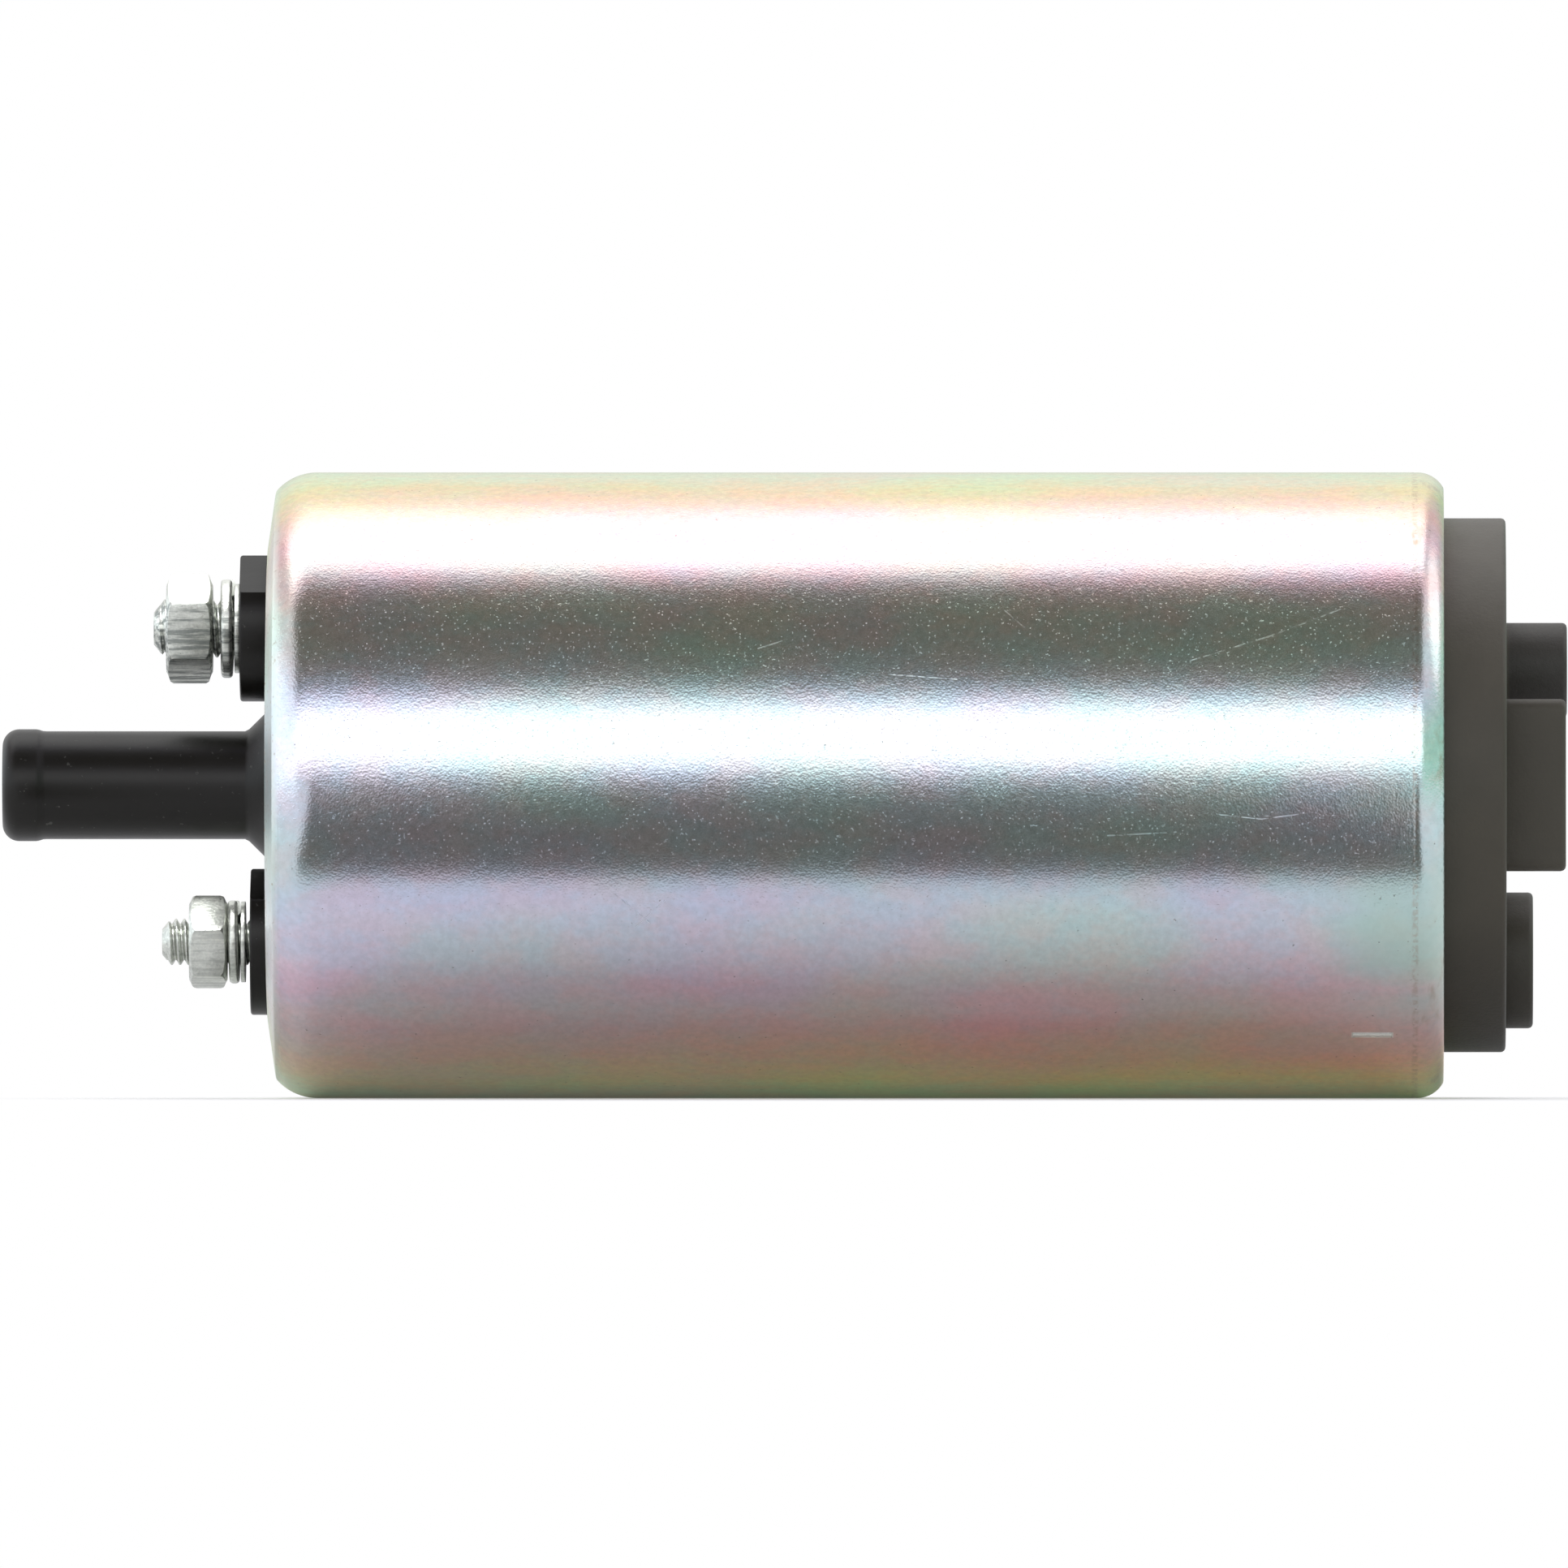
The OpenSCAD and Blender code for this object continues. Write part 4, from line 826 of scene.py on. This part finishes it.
def tower(size):
    """A terminal's tower, with a flat from its top down towards the front."""
    bm = rod(TOWER_X[size], X_WALL - 1, TOWER_R, edge=0.22)
    low = FLAT_ANGLE[size]
    middle = (90 + low) / 2
    cut_off(bm, Vector((0, -cosine(low), sine(low))) * TOWER_R, (0, -cosine(middle), sine(middle)))
    return moved(closed(bm), z=SIDE[size] * TOWER_PITCH)


def stud_hole(size):
    """A stud's hole, with a wider seat for its head, turned a little so that no edges coincide."""
    hole_r, seat_r, seat_x = STUD_R[size] + 0.04, HEAD_R[size] + 0.04, X_WALL - 2.02
    bm = lathe([(TOWER_X[size] - 1, 0), (TOWER_X[size] - 1, hole_r), (seat_x, hole_r), (seat_x, seat_r),
                (X_WALL + 1, seat_r), (X_WALL + 1, 0)], 64, HOLE_TURN)
    return moved(bm, z=SIDE[size] * TOWER_PITCH)


boss = moved(rod(X_WALL - 0.5, X_RELIEF, RELIEF_BOSS_R, 64, 0.2), y=RELIEF_Y)
relief_hole = moved(rod(X_FACE - 1, X_RELIEF + 1, RELIEF_BORE, 48, first=HOLE_TURN), y=RELIEF_Y)
cover = combine(lathe(cover_profile, 128), joined=[tower("m5"), tower("m4"), boss],
                cut=[stud_hole("m5"), stud_hole("m4"), relief_hole])
piece("Outlet_Cover", cover, "gloss_cover", "pump_body", ["outlet_cover"], sharp=28)

# %% [markdown]
# ## Terminals
# Each terminal is a threaded stud with a flat washer, a split spring washer and a nut. A real thread is a
# helix, so the teeth are drawn on a line, one pitch after another, and spun once round while they move on
# by a pitch: the last tooth lands on the next one's start and is merged. The nut is cut with the same
# thread, a little wider, so that it stays in step as it unscrews.

# %% Threads
PITCH = {"m5": 0.8, "m4": 0.7}
# Points of one tooth: the share of the pitch, and the depth from 0 at the crest to 1 at the root.
TOOTH = [(0.0, 1.0), (0.06, 1.0), (0.22, 0.55), (0.40, 0.06), (0.47, 0.0), (0.53, 0.0), (0.60, 0.06),
         (0.78, 0.55), (0.94, 1.0)]


def thread(x0, x1, radius, pitch, steps=48):
    """A right-handed thread about X, cut square at both ends."""
    depth = 0.6 * pitch
    start = math.floor(x0 / pitch - 2) * pitch
    count = math.ceil((x1 - x0) / pitch) + 4
    bm = drawn([(start + (tooth + along) * pitch, 0, radius - down * depth)
                for tooth in range(count) for along, down in TOOTH])
    spun(bm, 360, steps, advance=pitch)
    bmesh.ops.remove_doubles(bm, verts=bm.verts, dist=4 * MERGE)
    for x, side in ((x0, -1), (x1, 1)):
        cut_off(bm, (x, 0, 0), (side, 0, 0))
    return closed(bm)


def turn_down(bm, x, radius, slope):
    """Turns the end at x down to a radius, and along a cone from there, as a tool in a lathe does."""
    for vert in bm.verts:
        limit = radius + (vert.co.x - x) * slope
        reach = math.hypot(vert.co.y, vert.co.z)
        if reach > limit:
            vert.co.y *= limit / reach
            vert.co.z *= limit / reach
    return bm


STUD_LEN = {"m5": 7.25, "m4": 7.43}
TAIL_R = {"m5": 1.5, "m4": 1.2}
x_head, x_tail = X_WALL - 2, X_WALL + 1.1
for size in SIDE:
    tip = TOWER_X[size] - STUD_LEN[size]
    radius, head_r, tail_r = STUD_R[size], HEAD_R[size], TAIL_R[size]
    head = lathe([(x_head, 0), (x_head, head_r), (X_WALL, head_r), (X_WALL, tail_r), (x_tail, tail_r),
                  (x_tail, 0)], 64)
    round_rings(head, [(x_head, head_r), (x_tail, tail_r)], 0.15)
    stud = turn_down(thread(tip, X_WALL - 1.5, radius, PITCH[size]), tip, radius * 0.55, 1.25)
    stud = moved(combine(stud, joined=[head]), z=SIDE[size] * TOWER_PITCH)
    piece(f"Stud_{size.upper()}", stud, "plated_fasteners", "pump_body", [f"terminal_stud_{size}"],
          sharp=34)

# %% [markdown]
# ### Nuts and washers
# A hexagon nut is a six-sided bar with its corners turned off by a cone at each end, which leaves the
# curved line on every flat. Here the bar and the turned shape are intersected. The split washer is a
# rounded rectangle spun almost once round while it rises, so that its two cut ends stand apart.

# %% Nuts and washers
# Each starts with the x of its outer face. Then a nut has its thickness, width across the flats and turn, a
# lock washer its outer radius and thickness, and a flat washer its thickness and outer radius.
NUT = {"m5": (-57.84, 3.88, 8.0, 33.5), "m4": (-55.93, 3.2, 7.0, 45.6)}
LOCK = {"m5": (-53.31, 4.15, 0.95), "m4": (-52.68, 3.5, 0.83)}
FLAT = {"m5": (-52.12, 0.45, 3.75), "m4": (-51.59, 0.4, 3.4)}
SPLIT, RISE, LOCK_TILT = 14, 0.22, 0.5
NUT_CLEARANCE, NUT_MOUTH, NUT_EDGE, NUT_SHARP = 0.06, 0.35, 0.07, 24


def hexagon_nut(size):
    x, thick, flats, turn = NUT[size]
    corner_r = flats / 2 / cosine(30)
    hexagon = bmesh.new()
    stand = Matrix.Translation((x + thick / 2, 0, 0)) @ Matrix.Rotation(math.radians(90), 4, "Y")
    bmesh.ops.create_cone(hexagon, cap_ends=True, segments=6, radius1=corner_r, radius2=corner_r,
                          depth=thick, matrix=stand)
    corner = max(hexagon.verts, key=lambda vert: vert.co.y).co
    turned(hexagon, turn - math.degrees(math.atan2(corner.z, corner.y)))
    # One chamfer, from its face inwards: how far along X, and the radius there.
    half = [(-0.01, flats * 0.455), (0.12, flats * 0.485), (0.32, corner_r - 0.16), (0.62, corner_r + 0.03)]
    cones = lathe([(x - 0.01, 0), *[(x + along, r) for along, r in half],
                   *[(x + thick - along, r) for along, r in reversed(half)], (x + thick + 0.01, 0)], 144)
    body = combine(hexagon, common=[cones])
    bevel(body, [edge for edge in body.edges if len(edge.link_faces) == 2
                 and edge.calc_face_angle() > math.radians(NUT_SHARP)], NUT_EDGE, 2)
    radius = STUD_R[size] + NUT_CLEARANCE
    wide = radius + NUT_MOUTH
    mouths = [lathe([(x - 0.5, 0), (x - 0.5, wide), (x, wide - 0.15), (x + 0.55, radius - 0.4),
                     (x + 0.55, 0)], 64),
              lathe([(x + thick - 0.55, 0), (x + thick - 0.55, radius - 0.4), (x + thick, wide - 0.15),
                     (x + thick + 0.5, wide), (x + thick + 0.5, 0)], 64)]
    bore = combine(thread(x - 0.5, x + thick + 0.5, radius, PITCH[size]), joined=mouths)
    return combine(body, cut=[bore])


def split_washer(size):
    x, outer, thick = LOCK[size]
    inner = STUD_R[size] + 0.3
    bm = bmesh.new()
    middle = Matrix.Translation((x + thick / 2, 0, (outer + inner) / 2))
    stand = middle @ Matrix.Rotation(math.radians(90), 4, "X")
    section = Matrix.Diagonal((thick, outer - inner, 1, 1))
    bmesh.ops.create_grid(bm, x_segments=1, y_segments=1, size=0.5, matrix=stand @ section)
    bevel(bm, bm.verts[:], 0.3, 4, affect="VERTICES")
    bmesh.ops.delete(bm, geom=bm.faces[:], context="FACES_ONLY")
    spun(turned(bm, SPLIT / 2), 360 - SPLIT, 90, advance=RISE)
    bmesh.ops.remove_doubles(bm, verts=bm.verts, dist=MERGE)
    return turned(closed(bm), LOCK_TILT * SIDE[size], "Y", x)


def flat_washer(size):
    x, thick, outer = FLAT[size]
    inner = STUD_R[size] + 0.15
    corners = [(x, inner), (x, outer), (x + thick, outer), (x + thick, inner)]
    return round_rings(lathe(corners), corners, 0.09)


FASTENERS = {"Nut": hexagon_nut, "Lock_Washer": split_washer, "Flat_Washer": flat_washer}
for size, side in SIDE.items():
    bodies = {"Nut": size + "_nut", "Lock_Washer": size + "_lock", "Flat_Washer": "pump_body"}
    for title, make in FASTENERS.items():
        shape = moved(make(size), z=side * TOWER_PITCH)
        piece(f"{title}_{size.upper()}", shape, "plated_fasteners", bodies[title],
              [f"{title.lower()}_{size}"], sharp=30)

# %% [markdown]
# ### A lamp for the fasteners
# The small zinc pieces would mostly mirror the black plastic round them. A photographer gives them a light
# of their own with a narrow snoot. Here it is a small sun that only lights the fasteners.

# %% Light the fasteners
SNOOT_HEIGHT = 68
snoot_data = bpy.data.lights.new("Snoot", "SUN")
snoot_data.energy, snoot_data.angle = 3.5, math.radians(14)
snoot = bpy.data.objects.new("Snoot", snoot_data)
snoot_way = Vector((0.15, cosine(SNOOT_HEIGHT), -sine(SNOOT_HEIGHT)))
snoot.rotation_euler = snoot_way.to_track_quat("-Z", "Y").to_euler()
scene.collection.objects.link(snoot)
fasteners = bpy.data.collections.new("Fasteners")
for title in ("Stud", *FASTENERS):
    for size in SIDE:
        fasteners.objects.link(bpy.data.objects[f"{title}_{size.upper()}"])
snoot.light_linking.receiver_collection = fasteners

# %% [markdown]
# ## Pump cover
# The pump cover closes the inlet end. It is a thick disc with the fuel inlet near its edge, a post that
# carries the strainer and a block that keeps the pump from turning in its bracket. The disc comes from a
# section, the rest is joined to it, and the inlet bore, the pumping channel and the bearing seat are cut
# out. The mould leaves its own traces: a shallow round in the middle and the marks of four ejector pins.

# %% Pump cover
X_JOINT, X_FLANGE, X_DISC, DISC_R = 41.98, 47.98, 54.5, 22.4
INLET_Z, INLET_R, COLLAR_R, COLLAR_H = -14.7, 4.2, 5.7, 2.3
POST_Y, POST_Z, POST_R, POST_H = 8.0, 9.64, 4.0, 5.2
BLOCK_Y, BLOCK_DEPTH, BLOCK_W, BLOCK_H, BLOCK_CORNER, BLOCK_EDGE = -15.0, 7.0, 14.4, 5.0, 1.0, 0.45
CHANNEL_R0, CHANNEL_R1, CHANNEL_DEPTH, CHANNEL_START, CHANNEL_SWEEP = 15.2, 19.2, 2.0, -95, 325
BUTTON_R, X_BUTTON = 2.94, 43.95
ROUND_R, ROUND_DEPTH, EJECTOR_R, EJECTOR_DEPTH = 6.3, 0.18, 1.4, 0.1
EJECTOR_MARKS = [(8.6, -9.2), (-5.5, 16.0), (-12.5, -12.0), (16.5, -1.5)]
TOP_EDGE = 0.4


def block_on_disc():
    """The locating block, sunk by 1 mm into the disc."""
    bm = bmesh.new()
    length = BLOCK_H + 1
    form = Matrix.Diagonal((length, BLOCK_DEPTH, BLOCK_W, 1))
    place = Matrix.Translation((X_DISC - 1 + length / 2, BLOCK_Y + BLOCK_DEPTH / 2, 0))
    bmesh.ops.create_cube(bm, size=1, matrix=place @ form)
    upright = [edge for edge in bm.edges if abs(edge.verts[0].co.x - edge.verts[1].co.x) > 1]
    bevel(bm, upright, BLOCK_CORNER, 5)
    top = [edge for edge in bm.edges if all(vert.co.x > X_DISC + BLOCK_H - 0.01 for vert in edge.verts)]
    return bevel(bm, top, BLOCK_EDGE, 3)


def stub(height, radius, steps, y=0.0, z=0.0):
    """A round stub on the disc, sunk by 1 mm into it, with its top edge rounded."""
    top = X_DISC + height
    return moved(round_rings(rod(X_DISC - 1, top, radius, steps), [(top, radius)], TOP_EDGE), y=y, z=z)


def shallow_round(radius, depth, steps, first, y=0.0, z=0.0):
    """A tool that sinks a shallow round with a sloping rim into the disc."""
    low, high = X_DISC - depth, X_DISC + 0.3
    return moved(lathe([(low, 0), (low, radius), (high, radius + depth + 0.3), (high, 0)], steps, first),
                 y=y, z=z)


def channel():
    """The ring-shaped groove that the impeller runs over, open for a short stretch between its ends."""
    low, high = X_JOINT - 0.5, X_JOINT + CHANNEL_DEPTH
    section = drawn([(low, 0, CHANNEL_R0), (low, 0, CHANNEL_R1), (high, 0, CHANNEL_R1),
                     (high, 0, CHANNEL_R0)], loop=True)
    return closed(spun(turned(section, CHANNEL_START - 90), CHANNEL_SWEEP, 80))


disc = lathe([(X_JOINT, 0), (X_JOINT, COVER_R), (X_FLANGE, COVER_R), (X_FLANGE, DISC_R), (X_DISC, DISC_R),
              (X_DISC, 0)], 144)
round_rings(disc, [(X_DISC, DISC_R), (X_FLANGE, COVER_R)], TOP_EDGE, 4)
post = stub(POST_H, POST_R, 72, y=POST_Y, z=POST_Z)
collar = stub(COLLAR_H, COLLAR_R, 96, z=INLET_Z)
mouth_x = X_DISC + COLLAR_H
inlet = moved(lathe([(X_JOINT - 1, 0), (X_JOINT - 1, INLET_R), (mouth_x - 0.4, INLET_R),
                     (mouth_x + 0.4, INLET_R + 0.8), (mouth_x + 0.4, 0)], 80, HOLE_TURN), z=INLET_Z)
button_seat = rod(X_JOINT - 1, X_BUTTON, BUTTON_R, 64, first=HOLE_TURN)
traces = [shallow_round(ROUND_R, ROUND_DEPTH, 88, 1.3)]
traces += [shallow_round(EJECTOR_R, EJECTOR_DEPTH, 40, 2.3, y, z) for y, z in EJECTOR_MARKS]
pump_cover = combine(disc, joined=[post, block_on_disc(), collar],
                     cut=[inlet, channel(), button_seat, *traces])
piece("Pump_Cover", pump_cover, "matte_cover", "pump_body", ["pump_cover"], sharp=30)

# %% [markdown]
# ## Springs and coils
# Springs and the choke windings are round wire. A circle is spun round the coil's axis while it moves along
# it.

# %% Springs and coils
COIL_STEPS = 28


def wire_coil(radius, wire, length, turns):
    """A round-wire coil about X, with its outside ends at 0 and at its length."""
    bm = bmesh.new()
    stand = Matrix.Translation((wire / 2, 0, radius)) @ Matrix.Rotation(math.radians(90), 4, "X")
    bmesh.ops.create_circle(bm, cap_ends=False, segments=12, radius=wire / 2, matrix=stand)
    spun(bm, 360 * turns, COIL_STEPS * turns, advance=length - wire)
    bmesh.ops.remove_doubles(bm, verts=bm.verts, dist=MERGE)
    return closed(bm)


check_spring = moved(wire_coil(radius=3.5, wire=0.55, length=8.54, turns=6), x=-49.98)
check_piece = piece("Check_Valve_Spring", check_spring, "spring_steel", "pump_body", ["check_valve_spring"])
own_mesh(check_piece)
relief_spring = moved(wire_coil(radius=1.1, wire=0.4, length=5.5, turns=5), x=-46.98, y=RELIEF_Y)
relief_piece = piece("Relief_Valve_Spring", relief_spring, "spring_steel", "pump_body",
                     ["relief_valve_spring"])
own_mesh(relief_piece)

CHOKE_X, CHOKE_Y, CHOKE_Z = -43.62, 11.0, 9.0
BRUSH_X, BRUSH_TOP, BRUSH_SPRING_LEN = -23.3, 19.58, 4.53
for title, side in (("Rear", 1), ("Front", -1)):
    name = title.lower()
    choke = wire_coil(radius=2.29, wire=0.7, length=7.88, turns=6)
    moved(choke, x=CHOKE_X, y=side * CHOKE_Y, z=side * CHOKE_Z)
    piece("Choke_Coil_" + title, choke, "enamelled_wire", "pump_body", ["choke_coil_" + name])
    spring = wire_coil(radius=1.9, wire=0.4, length=BRUSH_SPRING_LEN, turns=3)
    shunt = rod(0, BRUSH_SPRING_LEN, 0.4, 16)
    for kind, bm, slot in (("spring", spring, "spring_steel"), ("shunt", shunt, "copper")):
        moved(turned(bm, side * 90, "Z"), x=BRUSH_X, y=side * (BRUSH_TOP - BRUSH_SPRING_LEN))
        made = piece(f"Brush_{kind.title()}_{title}", bm, slot, "pump_body", [f"brush_{kind}_{name}"])
        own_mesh(made)

# %% [markdown]
# ## The other solids
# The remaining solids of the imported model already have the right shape. They keep their meshes, and each
# takes the finish of the slot that the record gives it.

# %% Finish the other solids
shown = 0
for part in frame["record"]["subparts"]:
    node = frame["nodes"][part["node"]]
    node.data.materials.clear()
    node.data.materials.append(FINISH[part["material_slot"]])
    shown += not node.hide_render
print("solids kept as they are", shown)

# %% [markdown]
# ## View transform
# The scene's colours are shown through the Standard view transform.

# %% Set the view transform
scene.view_settings.view_transform = "Standard"
